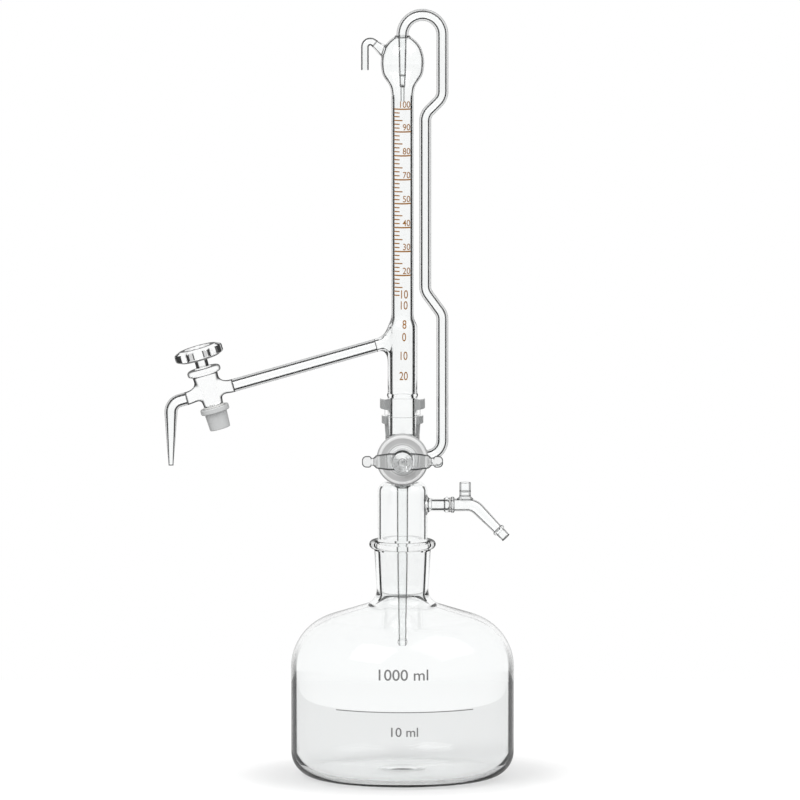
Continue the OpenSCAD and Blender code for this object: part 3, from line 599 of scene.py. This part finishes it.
port_z = 163.918
head_r, head_bore_r, cone_end, cone_top, dome_z, stem_z = 14.8, 13.5, 113.52, 141.5, 178.018, 181.0
head_outside = rounded([[11.8, cone_end, 0], [13.2, cone_end, 0.5], [14.6, cone_top, 0], [head_r, 141.52, 0],
                        [head_r, dome_z, 6], [6.2, dome_z, 1.2], [6.2, stem_z, 0]])[1:]
head_inside = rounded([[1.8, stem_z, 0], [1.8, 176.718, 0.4], [head_bore_r, 176.718, 4.7],
                       [head_bore_r, 143.518, 4], [11.8, cone_end, 0]])
port_rows = [155.9 + 0.8 * k for k in range(21)]
head_out = ([p for p in head_outside if p[1] < 155] + [(head_r, z) for z in port_rows]
            + [p for p in head_outside if p[1] > 172.0])
head_in = ([p for p in head_inside if p[1] > 172.0] + [(head_bore_r, z) for z in reversed(port_rows)]
           + [p for p in head_inside if p[1] < 155])
head = turned("head_glass", head_out + head_in, steps=128)
port_skin = [(17.6, 3.75), (24.8, 3.75), (25.4, 4.2), (25.7, 4.65), (26.6, 4.9), (27.3, 4.7), (27.8, 4.1)]
port_bore = [(27.8, 2.95), (17.6, 2.95), (17.2, 2.3), (15.4, 2.3)]
sealed_on(head, port_z, Vector((1, 0, 0)), 24, 24, head_out, head_in, port_skin, port_bore,
          inner=(11, 11), soft=0.4)


def about(line):
    """For a face's place, the nearest point of a broken centre line, in metres."""
    def nearest(spot):
        best = None
        for a, b in zip(line, line[1:]):
            run = b - a
            share = max(0, min(1, (spot - a).dot(run) / run.dot(run)))
            point = a + run * share
            if best is None or (spot - point).length < (spot - best).length:
                best = point
        return best
    return nearest


side_line = about([Vector((16.0, 0, port_z)) * MM, Vector((28, 0, port_z)) * MM])
seam = glass("seam", 0.3, 0.9, 0.95, veil=0.5)
side_wall = glass("side_tube", 0.2, 0.55, 0.42)
side_bore = glass("side_tube_inside", 0.2, 0.4, 0.95, slant=(0.19, 0.3))
head_wall = glass("head", 0.8, 1.0, 0.4)
head_bore = glass("head_inside", 0.72, 0.88, 0.95, slant=(0.25, 0.278), fade=0.015)
glaze(head, head_wall, head_bore,
      lambda spot: side_line(spot) if spot.x > 15.0 * MM else up(spot.z))
mark(head, glass("dome", 0.9, 1.0, 0.4),
     lambda c, n: c.z > 172 and c.x * c.x + c.y * c.y < 150 and abs(n.z) > 0.55)
mark(head, side_bore, lambda c, n: c.x > 17 and n.dot(Vector((0, c.y, c.z - port_z))) < -0.5)
mark(head, seam, lambda c, n: 24.7 < c.x < 25.8 and c.z > 150)
mark(head, matched("cone_inside"), lambda c, n: c.z < 143.7 and (c.z < 141.6 or inward(c, n)))
mark(head, matched("ground_cone", 0.1, 0.7),
     lambda c, n: c.z < 141.6 and outward(c, n) and abs(n.z) < 0.8)
settle(head, "head", "head_chamber", "air_port")


# Dip tube: thin drawn tube sealed under the dome, which tapers towards a small bead in the bottle.
dip = turned("dip_tube_glass", rounded([
    [1.7, 79.5, 0.2], [2.277, 79.5, 0.3], [3.077, 81.9, 1.2], [2.277, 84.5, 1.5], [3.15, 124.5, 0],
    [3.45, 174.7, 1.5], [5.25, 176.7, 0], [3.05, 176.7, 0], [3.05, 150, 0], [1.9, 86, 0]]), steps=48)
tube_wall = glass("tube", 0.2, 0.55, 0.42, upright=True)
glaze(dip, tube_wall,
      glass("dip_inside", 0.4, 0.6, 0.85, slant=(0.24, 0.29), fade=0.03, upright=True))
mark(dip, seam, lambda c, n: c.z > 175.2 and c.x * c.x + c.y * c.y > 12.5)
settle(dip, "head", "dip_tube")


# Main stopcock: a ground glass barrel across the axis, its ground plug with a wing handle in front, and
# at the back a washer, an O-ring and a nut that draw the plug home.
def ground(name, tone, grain, dark=0.45, thin=None):
    """Glass or plastic that is ground or moulded matt: milky, with a fine even grain, and with painted shade
    that darkens it by dark where it is met edge on. A thin wall round the axis is wet on its inner side, so
    that only its outer side shows, and that from the slant thin on."""
    finish = Finish(name)
    place = finish.place()
    fine = finish.noise(place, grain, 3.0)
    cloud = finish.noise(place, 160.0, 2.0)
    facing = finish.facing()
    # Painted shade: the tone darkens to dark times itself where a face is met edge on.
    edge = (*(dark * c for c in tone), 1)
    shade = finish.tint(facing ** 2.0, (*tone, 1), edge)
    body = finish.node("ShaderNodeBsdfPrincipled", None, {
        "Base Color": shade, "Roughness": 0.25 + 0.2 * cloud, "Normal": finish.grained(fine),
        "IOR": 1.47})
    if thin is None:
        return finish.done(body)
    normal = finish.node("ShaderNodeNewGeometry", out="Normal")
    flat = finish.vector("MULTIPLY", place, (1, 1, 0))
    away = finish.vector("NORMALIZE", flat)
    turned_out = finish.vector("DOT_PRODUCT", normal, away, out="Value")
    level = finish.part("Z", normal)
    solid = turned_out.ramp(-0.3, -0.05)
    front = 1 - finish.behind()
    near = facing.ramp(thin, thin + 0.12)
    above = facing.ramp(0.8, 0.5)
    upright = 1 - level * level
    clear = finish.node("ShaderNodeBsdfTransparent")
    return finish.done(finish.blend(front * (solid * near * upright + above * (1 - upright)), clear, body))


def flanged():
    """Clear glass with a wide ground flange in front, on which pale and dark rings are painted by distance from
    the axis, as highlight and shade on its rounded rims, and painted shade darkens it where met edge on.
    """
    finish = Finish("clear_glass_barrel")
    place = finish.place()
    front = finish.part("Y", place).ramp(-0.0147, -0.0153)
    fine = finish.noise(place, 5200.0, 3.0)
    cloud = finish.noise(place, 170.0, 2.0)
    facing = finish.facing()
    middle = finish.vector("SUBTRACT", place, (0, 0, main_z * MM))
    disc = finish.vector("MULTIPLY", middle, (1, 0, 1))
    far = finish.vector("LENGTH", disc, out="Value")
    # Painted highlight and shade: a white ring and grey rings by distance from the axis, where the rims are
    # rounded.
    rings = finish.node("ShaderNodeValToRGB", {"stops": [
        (0.0, 0.5), (0.6, 0.55), (0.63, 0.8), (0.66, 0.6), (0.83, 0.55), (0.86, 0.95), (0.93, 0.95),
        (0.955, 0.6), (0.985, 0.45)]}, {"Fac": far * (1 / 0.0156) + 0.01 * cloud})
    tone = finish.tint(facing ** 1.5, rings, (0.3, 0.31, 0.31, 1))
    matt = finish.node("ShaderNodeBsdfPrincipled", None, {
        "Base Color": tone, "Roughness": 0.3 + 0.2 * cloud, "Normal": finish.grained(fine)})
    clear = finish.node("ShaderNodeBsdfPrincipled", None, {
        "Base Color": (0.99, 0.995, 0.995, 1), "Roughness": 0.01 * cloud, "IOR": 1.2,
        "Transmission Weight": 1.0})
    # Painted dark lines on the clear glass where it is met edge on.
    wall = finish.blend(facing.ramp(0.55, 0.95) * 0.9, clear, finish.dark())
    return finish.done(finish.blend(front, wall, matt))


def dress(node, finish):
    """Gives a solid of the frame its finish."""
    coat(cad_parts[node], finish)


frosted = ground("frosted_glass", (0.86, 0.87, 0.87), 5200)
main_z = 193.518
dress("main_barrel", flanged())
dress("main_plug", frosted)
soft_white = ground("soft_white", (0.9, 0.9, 0.88), 3000)
black_rubber = ground("black_rubber", (0.03, 0.03, 0.03), 3000)
# The milky nut is painted nearly black where it is met edge on, as the shade round its sides.
milky = ground("frosted_plastic", (0.72, 0.73, 0.73), 2600, 0.05)
dress("main_washer", soft_white)
dress("main_o_ring", black_rubber)
dress("main_nut", milky)


# Wing handle: clear glass worked to a bar with a waist and a ball at each end, on a round boss with a
# dimple, and sealed on the plug's front stem.
wing_end = 24.25
wing = [[3.39, wing_end, 2.6], [3.5, 19.45, 1.5], [1.8, 18.04, 1.1], [4.0, 15.64, 1.6], [5.09, 8.0, 3]]
wing_back = [[r, -z, c] for r, z, c in reversed(wing)]
bar = turned("main_handle_glass", rounded([[0, wing_end, 0]] + wing + wing_back + [[0, -wing_end, 0]]),
             closed=False, steps=64)
bar.rotation_euler = (0, math.pi / 2, 0)
bpy.ops.object.transform_apply(rotation=True)
boss_r = 6.4
boss = turned("handle_boss", rounded([
    [0, -5.5, 0], [boss_r, -5.5, 0], [boss_r, 6.4, 0.9], [2.9, 6.4, 0.35], [2.3, 5.4, 0.5], [0, 5.4, 0]]),
    closed=False, steps=96)


def fuse(piece, other, way="UNION"):
    """Melts another piece into this one, or cuts it out."""
    pick(piece)
    melt = piece.modifiers.new("melt", "BOOLEAN")
    melt.operation = way
    melt.solver = "EXACT"
    melt.object = other
    bpy.ops.object.modifier_apply(modifier="melt")
    bpy.data.objects.remove(other)


fuse(bar, boss)
pick()
bpy.ops.mesh.primitive_cube_add(size=0.06, location=(0, 0, -0.0349))
fuse(bar, bpy.context.object, "DIFFERENCE")
main_place = Matrix.Translation((0, 0, main_z * MM)) @ Matrix.Rotation(math.pi / 2, 4, "X")
# The handle is painted dark on its edges, and a faint even veil of painted shade lies over the whole bar.
coat(bar, glass("handle", 0.28, 0.62, 0.95, bend=1.15, clear=1.0, veil=0.06))
mark(bar, seam, lambda c, n: n.y < -0.6 and 16.4 < abs(c.x) < 20.6)
mark(bar, matched("handle_foot"), lambda c, n: n.z < -0.9 and c.z < -4.6)
settle(bar, "main_plug", "main_handle", place=main_place @ Matrix.Translation((0, 0, 28.6 * MM)))


# Foot joint: the frosted socket above the stopcock, with the grey sprung clip that holds the column's
# ground foot in it.
grey_plastic = ground("grey_plastic", (0.46, 0.47, 0.47), 2600, 0.12, thin=-0.2)
skirt = ground("frosted_glass_skirt", (0.4, 0.41, 0.41), 5200, 0.3, thin=0.3)
dress("foot_socket", skirt)
dress("joint_clip", grey_plastic)
clip_web = ground("grey_plastic_web", (0.5, 0.5, 0.5), 2600, 0.3, thin=0.72)
mark(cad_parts["joint_clip"], clip_web, lambda c, n: 218.9 < c.z < 222.1)


# Graduated column: one length of tube with a ground foot, a wide part that the delivery arm is drawn out
# of, the narrow graduated part and, blown at its top, the overflow bulb with its vent stub.
def flowing(points, per=5):
    """A smooth line through (radius, height) points."""
    made = []
    ends = [points[0]] + points + [points[-1]]
    for spots in zip(ends, ends[1:], ends[2:], ends[3:]):
        for k in range(per):
            u = k / per
            made.append(tuple(0.5 * (2 * b + (c - a) * u + (2 * a - 5 * b + 4 * c - d) * u * u
                                     + (3 * b - a - 3 * c + d) * u ** 3) for a, b, c, d in zip(*spots)))
    return made + [points[-1]]


def lined(skin, wall):
    """The inner side of a skin that climbs: its line moved in by the wall."""
    made = []
    for i, (r, z) in enumerate(skin):
        run = Vector(skin[min(i + 1, len(skin) - 1)]) - Vector(skin[max(i - 1, 0)])
        run.normalize()
        made.append((r - wall * run.y, z + wall * run.x))
    return made


foot_z, tube_top, bulb_top = 206.318, 408.0, 447.018
bulb_outside = flowing([
    (6.7, tube_top), (6.75, 411.0), (7.15, 414.5), (8.1, 417.5), (9.6, 419.8), (11.2, 422.1), (12.2, 424.4),
    (12.75, 427.5), (12.95, 430.5), (12.8, 433.7), (12.2, 436.6), (10.9, 440.2), (8.7, 443.2), (6.2, 445.4),
    (4.8, 446.4), (4.5, bulb_top)])
bulb_inside = [p for p in lined(bulb_outside, 0.95) if p[1] > 409 and p[0] > 4.2 and p[1] < 445.6]
bulb_inside = [(5.65, tube_top)] + bulb_inside + [(3.4, 445.8), (2.62, 446.0), (2.62, bulb_top)]
foot_outside = rounded([
    [7.1, foot_z, 0], [8.265, foot_z, 0.4], [8.85, 218.0, 0], [8.85, 229.0, 0], [9.3, 230.1, 0.7],
    [9.3, 230.5, 0.7], [8.85, 231.6, 0], [8.85, 272.0, 4], [6.7, 277.0, 4], [6.7, tube_top, 0]])[1:]
foot_inside = rounded([[7.1, foot_z, 0], [7.1, 271.6, 4], [5.65, 276.6, 4], [5.65, tube_top, 0]])
column_out = [p for p in foot_outside if p[1] < 240] + rows(foot_outside, 242, 290, 1.5) + bulb_outside
column_in = [(7.1, foot_z), (7.1, 240)] + rows(foot_inside, 242, 290, 1.5) + bulb_inside
column = turned("column_glass", column_out + column_in[::-1], steps=128)
arm_lean, arm_root_z, arm_start, arm_r, arm_bore = -105.8, 264.818, 16.3, 3.95, 2.75
arm_slope = math.radians(arm_lean)
arm_way = Vector((math.sin(arm_slope), 0, math.cos(arm_slope)))
sealed_on(column, 265.3, Vector((-1, 0, 0)), 46, 60, column_out, column_in,
          [(15.6, arm_r), (arm_start, arm_r)], [(arm_start, arm_bore), (14.6, arm_bore)],
          heading=arm_way, root=arm_root_z, inner=(38, 58))
vent_z, vent_lean, vent_end = 428.318, -50, 21.9
vent_way = Vector((math.sin(math.radians(vent_lean)), 0, math.cos(math.radians(vent_lean))))
sealed_on(column, vent_z, vent_way, 16, 16, column_out, column_in,
          [(16.6, 3.4), (18.5, 2.95), (21.3, 2.5), (vent_end, 2.5)],
          [(vent_end, 1.9), (18.5, 2.2), (15.4, 2.7)],
          inner=(13, 13), soft=0.3)
arm_from = up(arm_root_z)
arm_line = about([(arm_from + arm_way * s) * MM for s in (7, 17)])
vent_from = up(vent_z)
vent_line = about([(vent_from + vent_way * s) * MM for s in (12, 23)])


def column_line(spot):
    if spot.x < -9.4 * MM and spot.z < 0.3:
        return arm_line(spot)
    if (spot - vent_from * MM).dot(vent_way) > 13.6 * MM and spot.z > 0.42:
        return vent_line(spot)
    return up(spot.z)


column_wall = glass("column", 0.5, 0.97, 0.55, upright=True)
column_bore = glass("column_inside", 0.38, 0.55, 0.97, slant=(0.23, 0.28), upright=True)
glaze(column, column_wall, column_bore, column_line)
mark(column, glass("ring", 0.5, 0.7, 0.9, bend=1.3),
     lambda c, n: 229.0 < c.z < 231.6 and off_axis(c) > 8.6)
bulb_bore = glass("bulb_inside", 0.62, 0.78, 0.97, slant=(0.248, 0.278), fade=0.012)
bulb_neck = glass("bulb_neck_inside", 0.5, 0.66, 0.97, slant=(0.24, 0.28), fade=0.025)


def in_bulb(c, n):
    """A face of the bulb's inner side, clear of the jet's seal."""
    return n.dot(Vector((c.x, c.y, 0.9 * (c.z - 430)))) < 0 and c.x * c.x + c.y * c.y > 12


mark(column, bulb_neck, lambda c, n: 411 < c.z < 419 and in_bulb(c, n))
mark(column, bulb_bore, lambda c, n: c.z > 418 and c.x > -12.4 and in_bulb(c, n))
mark(column, seam, lambda c, n: (c - vent_from).dot(vent_way) > 21.3)
settle(column, "head", "burette_tube", "overflow_bulb", "vent_stub")


# Printing on the column: amber enamel fired on the glass, one long line with its number at each step of the
# scale, short and middle lines between, and bare numbers below the scale.
amber = enamel("amber_enamel", (0.32, 0.12, 0.008), (0.44, 0.19, 0.02))
scale_top, number_step = 404.2, 14.42
marks = []
for step in range(48):
    z = scale_top - number_step * step / 6 - 0.75 * max(0, 1 - step / 6)
    end, thickness = {0: (4.86, 0.85), 3: (0.0, 0.72)}.get(step % 6, (-1.74, 0.72))
    marks.append(ruled(-4.92, end, z, thickness))
for step, number in enumerate(["100", "90", "80", "70", "50", "40", "30", "20"]):
    z = (404.35 if step == 0 else 405.1) - number_step * step
    marks.append(lettered(number, 4.75, z, 3.85, 0.86, "RIGHT"))
for number, z, x in (("10", 289.4, 3.4), ("10", 282.8, 3.2), ("8", 271.4, 2.5),
                     ("0", 263.9, 2.3), ("10", 252.6, 3.1), ("20", 240.4, 3.3)):
    marks.append(lettered(number, x, z, 5.0, 0.74, "RIGHT"))
printed("scale_print", marks, foot_outside, 0.5, amber, "head")


# Filling jet: a fine tube drawn to a point, sealed in the bulb's top and reaching down into the column.
jet_end = 407.518
jet = turned("fill_jet_glass", rounded([
    [0.85, jet_end, 0.1], [1.3, jet_end, 0.2], [1.35, 416.4, 0.3], [1.75, 417.2, 0.5], [1.95, 422.6, 0.3],
    [2.15, 423.6, 0.5], [2.55, 443.218, 0], [2.55, bulb_top, 0], [2.15, bulb_top, 0], [2.1, 440, 0],
    [1.65, 424, 0], [1.4, 418, 0], [0.9, 416, 0]]), steps=48)
tube_bore = glass("tube_inside", 0.2, 0.4, 0.95, slant=(0.19, 0.3), upright=True)
glaze(jet, tube_wall, tube_bore)
mark(jet, seam, lambda c, n: 416.3 < c.z < 417.3 or 422.5 < c.z < 423.7)
settle(jet, "head", "fill_jet")


# Filling tube and vent elbow: bent tubes. The filling tube leaves the stopcock's side, climbs beside the
# column with two side steps, turns over in a U and is sealed on the bulb's top.
def drawn(name, at, heading, route, outer, bore, wall=None, inside=None):
    """A tube along a route of (run, bend radius, angle, and where the run tapers, its new radius and bore)."""
    pick()
    start = Vector(at)
    bpy.ops.mesh.primitive_circle_add(vertices=48, radius=outer * MM, location=start * MM,
                                      rotation=(0, math.radians(heading), 0))
    piece = bpy.context.object
    piece.name = piece.data.name = name
    bpy.ops.object.transform_apply(location=True, rotation=True, scale=True)
    spot, turn, moves, line = start.copy(), math.radians(heading), [], [start * MM]
    out_now, bore_now = outer, bore
    for run, radius, angle, *taper in route:
        way = Vector((math.sin(turn), 0, math.cos(turn)))
        new_out, new_bore = taper or (out_now, bore_now)
        moves.append(("run", spot.copy(), spot + way * run, new_out / out_now, bore_now / new_bore))
        spot, out_now, bore_now = spot + way * run, new_out, new_bore
        line.append(spot * MM)
        if angle:
            centre = spot + Vector((math.cos(turn), 0, -math.sin(turn))) * math.copysign(radius, angle)
            moves.append(("bend", centre, math.radians(angle)))
            for k in range(1, 9):
                swing = Matrix.Rotation(math.radians(angle) * k / 8, 3, "Y")
                line.append((centre + swing @ (spot - centre)) * MM)
            spot = centre + Matrix.Rotation(math.radians(angle), 3, "Y") @ (spot - centre)
            turn += math.radians(angle)
    bpy.ops.object.mode_set(mode="EDIT")
    bpy.ops.mesh.select_all(action="SELECT")
    for back in (False, True):
        for kind, *move in (moves[::-1] if back else moves):
            if kind == "run":
                here, there, grow, shrink = move
                step = (here - there if back else there - here) * MM
                bpy.ops.mesh.extrude_region_move(TRANSFORM_OT_translate={"value": step})
                size, middle = (shrink, here) if back else (grow, there)
                if abs(size - 1) > 1e-6:
                    bpy.ops.transform.resize(value=(size, size, size), center_override=middle * MM)
            else:
                centre, angle = move
                bpy.ops.mesh.spin(steps=max(3, math.ceil(abs(math.degrees(angle)) / 4)),
                                  angle=angle if back else -angle, center=centre * MM, axis=(0, 1, 0))
        size, middle = (outer / bore, start) if back else (bore_now / out_now, spot)
        bpy.ops.mesh.extrude_region_move(TRANSFORM_OT_translate={"value": (0, 0, 0)})
        bpy.ops.transform.resize(value=(size, size, size), center_override=middle * MM)
    weld(2e-5)
    bpy.ops.mesh.normals_make_consistent(inside=False)
    bpy.ops.object.mode_set(mode="OBJECT")
    glaze(piece, wall or tube_wall, inside or tube_bore, about(line))
    return piece


fill = drawn("fill_tube_glass", (0, 0, bulb_top), 0, [
    (0.6, 11.95, 180), (34.1, 9, 45), (7.111, 9, -45), (99.744, 9, -36), (11.675, 9, 36), (72.975, 9.5, 90),
    (0.8, 0, 0)], 3.6, 2.3)
settle(fill, "head", "fill_tube")
elbow = drawn("vent_elbow_glass", vent_from + vent_way * vent_end, vent_lean,
              [(0.6, 3.2, -130), (13.9, 0, 0)], 2.35, 2.0)
settle(elbow, "head", "vent_elbow")


# Delivery arm: straight tube sealed to the column's root and to the arm stopcock's port.
arm = drawn("delivery_arm_glass", arm_from + arm_way * arm_start, arm_lean,
            [(0.45, 0, 0), (88.5, 0, 0), (0.45, 0, 0)], arm_r, arm_bore, side_wall, side_bore)
mark(arm, seam, lambda c, n: abs((c - arm_from).dot(arm_way) - 61) > 44.3)
settle(arm, "head", "delivery_arm")


# Arm stopcock: a ground barrel square to the arm with a bead round its mouth and a port on each side.
tap_place = Matrix.Translation(arm_from * MM) @ Matrix.Rotation(arm_slope, 4, "Y")
tap_place = tap_place @ Matrix.Translation((0, 0, 120.1 * MM)) @ Matrix.Rotation(math.pi / 2, 4, "Y")
barrel_foot, barrel_mouth = -8.19, 15.21
barrel_skin = rounded([[4.03, barrel_foot, 0], [5.9, barrel_foot, 0.6], [7.75, 11.21, 1], [10.2, 11.21, 1.6],
                       [10.2, barrel_mouth, 1.9], [5.2, barrel_mouth, 0]])[1:]
barrel_seat = [(5.2, barrel_mouth), (4.03, barrel_foot)]
barrel_rows = rows([(5.95, -7.6), (7.75, 10.8)], -7.3, 9.9, 0.8)
barrel_out = ([p for p in barrel_skin if p[1] < -7.4] + barrel_rows
              + [p for p in barrel_skin if p[1] > 10.0][:-1])
barrel_in = barrel_seat[:1] + rows(barrel_seat, 9.9, -7.3, 0.8) + barrel_seat[1:]
arm_barrel = turned("arm_barrel_glass", barrel_out + barrel_in, steps=96)
for way in (1, -1):
    sealed_on(arm_barrel, 0.8, Vector((way, 0, 0)), 58, 47, barrel_out, barrel_in,
              [(13.9, arm_r), (14.4, arm_r)], [(14.4, arm_bore), (11.0, 2.2), (8.0, 1.4), (6.2, 1.4)], root=0.0,
              inner=(17, 17))
tap_wall = glass("tap", 0.3, 0.55, 0.95, bend=1.15)
tap_seat = matched("ground_seat")
tap_line = about([Vector((-15, 0, 0)) * MM, Vector((15, 0, 0)) * MM])
glaze(arm_barrel, tap_wall, tap_seat,
      lambda spot: tap_line(spot) if abs(spot.x) > 8.2 * MM and abs(spot.z) < 6 * MM
      or abs(spot.x) > 4.4 * MM and math.hypot(spot.y, spot.z) < 2.9 * MM else up(spot.z))
mark(arm_barrel, seam, lambda c, n: abs(c.x) > 13.9)
mark(arm_barrel, glass("tap_bead", 0.4, 0.7, 0.85, bend=1.03),
     lambda c, n: c.z > 11.3 and off_axis(c) > 5.4)
settle(arm_barrel, "head", "arm_barrel", place=tap_place)


# Arm plug: a ground glass cone with a cross way, whose stem carries the knob, drawn home from below by a
# milky nut over a soft washer and an O-ring.
stem_top = 20.81
plug = turned("arm_plug_glass", rounded([
    [0, -19.49, 0], [2.6, -19.49, 0.4], [2.6, -8.49, 0], [3.965, -8.49, 0], [5.17, 15.61, 0.4],
    [3.9, 15.61, 0.5], [3.9, stem_top, 0], [0, stem_top, 0]]), closed=False, steps=64)
pick()
bpy.ops.mesh.primitive_cylinder_add(vertices=32, radius=1.4 * MM, depth=14 * MM, rotation=(0, math.pi / 2, 0))
fuse(plug, bpy.context.object, "DIFFERENCE")
coat(plug, tap_seat)
mark(plug, glass("stem", 0.08, 0.2, 0.97), lambda c, n: c.z > 15.4 and abs(n.z) < 0.6)
settle(plug, "arm_plug", "arm_plug", place=tap_place)
dress("arm_washer", soft_white)
dress("arm_o_ring", black_rubber)
dress("arm_nut", milky)


# Fluted knob: a clear moulded disc with ten flutes for the fingers, fixed on the arm plug's stem.
knob_top, knob_r = 28.01, 14.7
knob = turned("arm_knob_glass", rounded([
    [0, stem_top, 0], [11.3, stem_top, 2], [knob_r, 22.41, 1.2], [knob_r, 26.41, 1.2], [11.3, knob_top, 2],
    [8.0, knob_top, 0], [4.6, knob_top, 0], [0, knob_top, 0]]), closed=False, steps=240)
flute_far, flute_r, flute_turn = 17.875, 4.41, 36


def fluted(name, veil):
    """Thick clear glass with upright flutes: their flanks are painted dark by the way they look round the
    knob's axis, whatever their slope, as the shade and dark reflections of the flutes, and its rim is painted
    dark where met edge on. A veil of that painted dark lies evenly over a crest."""
    finish = Finish("clear_glass_" + name)
    axis = (tap_place.to_3x3() @ Vector((0, 0, 1))).normalized()
    place = finish.place()
    dust = finish.noise(place, 90.0, 3.0)
    normal = finish.node("ShaderNodeNewGeometry", out="Normal")
    climb = finish.vector("DOT_PRODUCT", normal, axis, out="Value")
    along = finish.node("ShaderNodeVectorMath", {"operation": "SCALE"}, {0: axis, 3: climb})
    across = finish.vector("SUBTRACT", normal, along)
    level = finish.vector("NORMALIZE", across)
    round_facing = finish.facing(level)
    facing = finish.facing()
    flank = round_facing.ramp(0.17, 0.4)
    rim = facing.ramp(0.86, 0.96)
    top = (climb * climb).ramp(0.97, 0.9)
    dark = (veil + (0.97 - veil) * flank).most(rim) * top
    body = finish.node("ShaderNodeBsdfPrincipled", None, {
        "Base Color": (0.99, 0.995, 0.995, 1), "Roughness": 0.01 * dust, "IOR": 1.12,
        "Transmission Weight": 1.0})
    line = finish.dark()
    return finish.done(finish.blend(dark * (1 - finish.behind()), body, line))


for vert in knob.data.vertices:
    r = off_axis(vert.co) / MM
    turn = math.atan2(vert.co.y, vert.co.x)
    off = (math.degrees(turn) / flute_turn) % 1 - 0.5
    across = flute_far * math.sin(math.radians(flute_turn * off))
    if r > 1 and abs(across) < flute_r:
        limit = flute_far * math.cos(math.radians(flute_turn * off)) - math.sqrt(flute_r ** 2 - across ** 2)
        if r > limit - 0.25:
            blend = max(0, min(1, 0.5 + (r - limit) / 0.5))
            new_r = r * (1 - blend) + limit * blend - 0.125 * blend * (1 - blend)
            vert.co.x *= new_r / r
            vert.co.y *= new_r / r
coat(knob, fluted("knob", 0.0))


def off_crest(c):
    return abs((math.degrees(math.atan2(c.y, c.x)) / flute_turn + 0.5) % 1 - 0.5)


# The flute crests and the corners beside them get an even veil of painted shade, darker at the corners.
mark(knob, fluted("knob_crest", 0.35), lambda c, n: off_axis(c) > 12 and off_crest(c) < 0.13)
mark(knob, fluted("knob_corner", 0.9), lambda c, n: off_axis(c) > 12 and 0.13 < off_crest(c) < 0.2)
mark(knob, glass("knob_rim", 0.8, 0.87, 0.85, bend=1.12),
     lambda c, n: n.z > 0.9 and off_axis(c) > 8)
mark(knob, glass("knob_top", 0.8, 0.87, 0.5, bend=1.12),
     lambda c, n: n.z > 0.9 and 4.6 < off_axis(c) < 8 and off_crest(c) < 0.2)
mark(knob, glass("knob_foot", 0.3, 0.6, 0.8, bend=1.12),
     lambda c, n: c.z < 22.6 and -0.97 < n.z < -0.3)
settle(knob, "arm_plug", "arm_knob", place=tap_place)


# Delivery tip: the arm's tube turned down beyond the stopcock and drawn to a point.
tip = drawn("delivery_tip_glass", arm_from + arm_way * 134.5, arm_lean, [
    (0.45, 0, 0), (3.85, 7.4, -74.2), (0.6, 0, 0), (31.1, 0, 0, 1.57, 1.25), (0.4, 0, 0, 1.5, 1.2)],
    arm_r, arm_bore)
mark(tip, seam, lambda c, n: (c - arm_from).dot(arm_way) < 134.9 and c.z > 215 or c.z < 188.7)
settle(tip, "head", "delivery_tip")


# Air connector: bent tube that swivels on the head's side port against a soft washer, with a finger vent
# and a beaded end for the hose of a hand bellows.
# The coupling washer is soft white, painted mid grey as the shade that it sits in.
dress("coupling_washer", ground("soft_white_coupling_painted_shade", (0.5, 0.5, 0.49), 3000))
pipe_r, pipe_bore = 3.45, 2.2
vent_pipe = turned("vent_pipe_glass", [
    (pipe_bore, 166), (pipe_r, 166), (pipe_r, 168.9), (pipe_r, 169.6), (pipe_r, 171.7), (pipe_r, 172.5),
    (pipe_r, 177.2), (3.2, 177.5), (2.45, 177.5), (pipe_bore, 177.2)], steps=48)
for vert in vent_pipe.data.vertices:
    if vert.co.z < 0.167:
        vert.co.x *= 1.45 if off_axis(vert.co) > 3 * MM else 1
        vert.co.z = 163.8 * MM + math.sqrt((3.75 * MM) ** 2 - vert.co.y ** 2)
glaze(vent_pipe, glass("vent", 0.16, 0.34, 0.6, bend=1.2),
      glass("vent_inside", 0.8, 0.95, 0.5, bend=1.2))
mark(vent_pipe, matched("vent_foot"), lambda c, n: c.z < 168 and n.z < -0.2)
mark(vent_pipe, seam,
     lambda c, n: (168.9 < c.z < 169.6 or 171.7 < c.z < 172.5 or c.z > 177) and off_axis(c) > 3)
settle(vent_pipe, "connector", "vent_pipe", place=Matrix.Translation((37.6 * MM, 0, 0)))
connector = drawn("air_connector_glass", (18.8, 0, port_z), 90, [
    (10, 0, 0), (0.05, 0, 0, 4.3, 2.3), (0.6, 0, 0, 4.9, 2.8), (1.1, 0, 0, 4.9, 3.0), (0.6, 0, 0, 4.3, 3.0),
    (0.05, 0, 0, 3.75, 3.0), (7.8, 9, 45.7), (16.5, 0, 0, 3.0, 2.4), (0.3, 0, 0, 3.6, 2.4),
    (0.6, 0, 0, 3.9, 2.4), (0.7, 0, 0), (0.6, 0, 0, 3.6, 2.4), (0.2, 0, 0, 2.9, 2.3), (4.5, 0, 0),
    (0.4, 0, 0), (0.3, 0, 0, 2.6, 2.2)], 2.9, 1.9, side_wall,
    glass("connector_inside", 0.4, 0.65, 0.75, slant=(0.235, 0.285), fade=0.03))
mark(connector, matched("inner_tube"), lambda c, n: c.x < 28.7)
mark(connector, seam, lambda c, n: 30.6 < c.x < 31.3 and c.z > 155)
spout = Vector((0.698415, 0, -0.715693))
hose_end = Vector((60.317, 0, 145.959))


def down_spout(c):
    return (c - hose_end).dot(spout)


mark(connector, seam, lambda c, n: down_spout(c) > 2
     or abs(down_spout(c) + 3.58) > 1 and -4.8 < down_spout(c) < -2.3)
settle(connector, "connector", "air_connector", "hose_end")
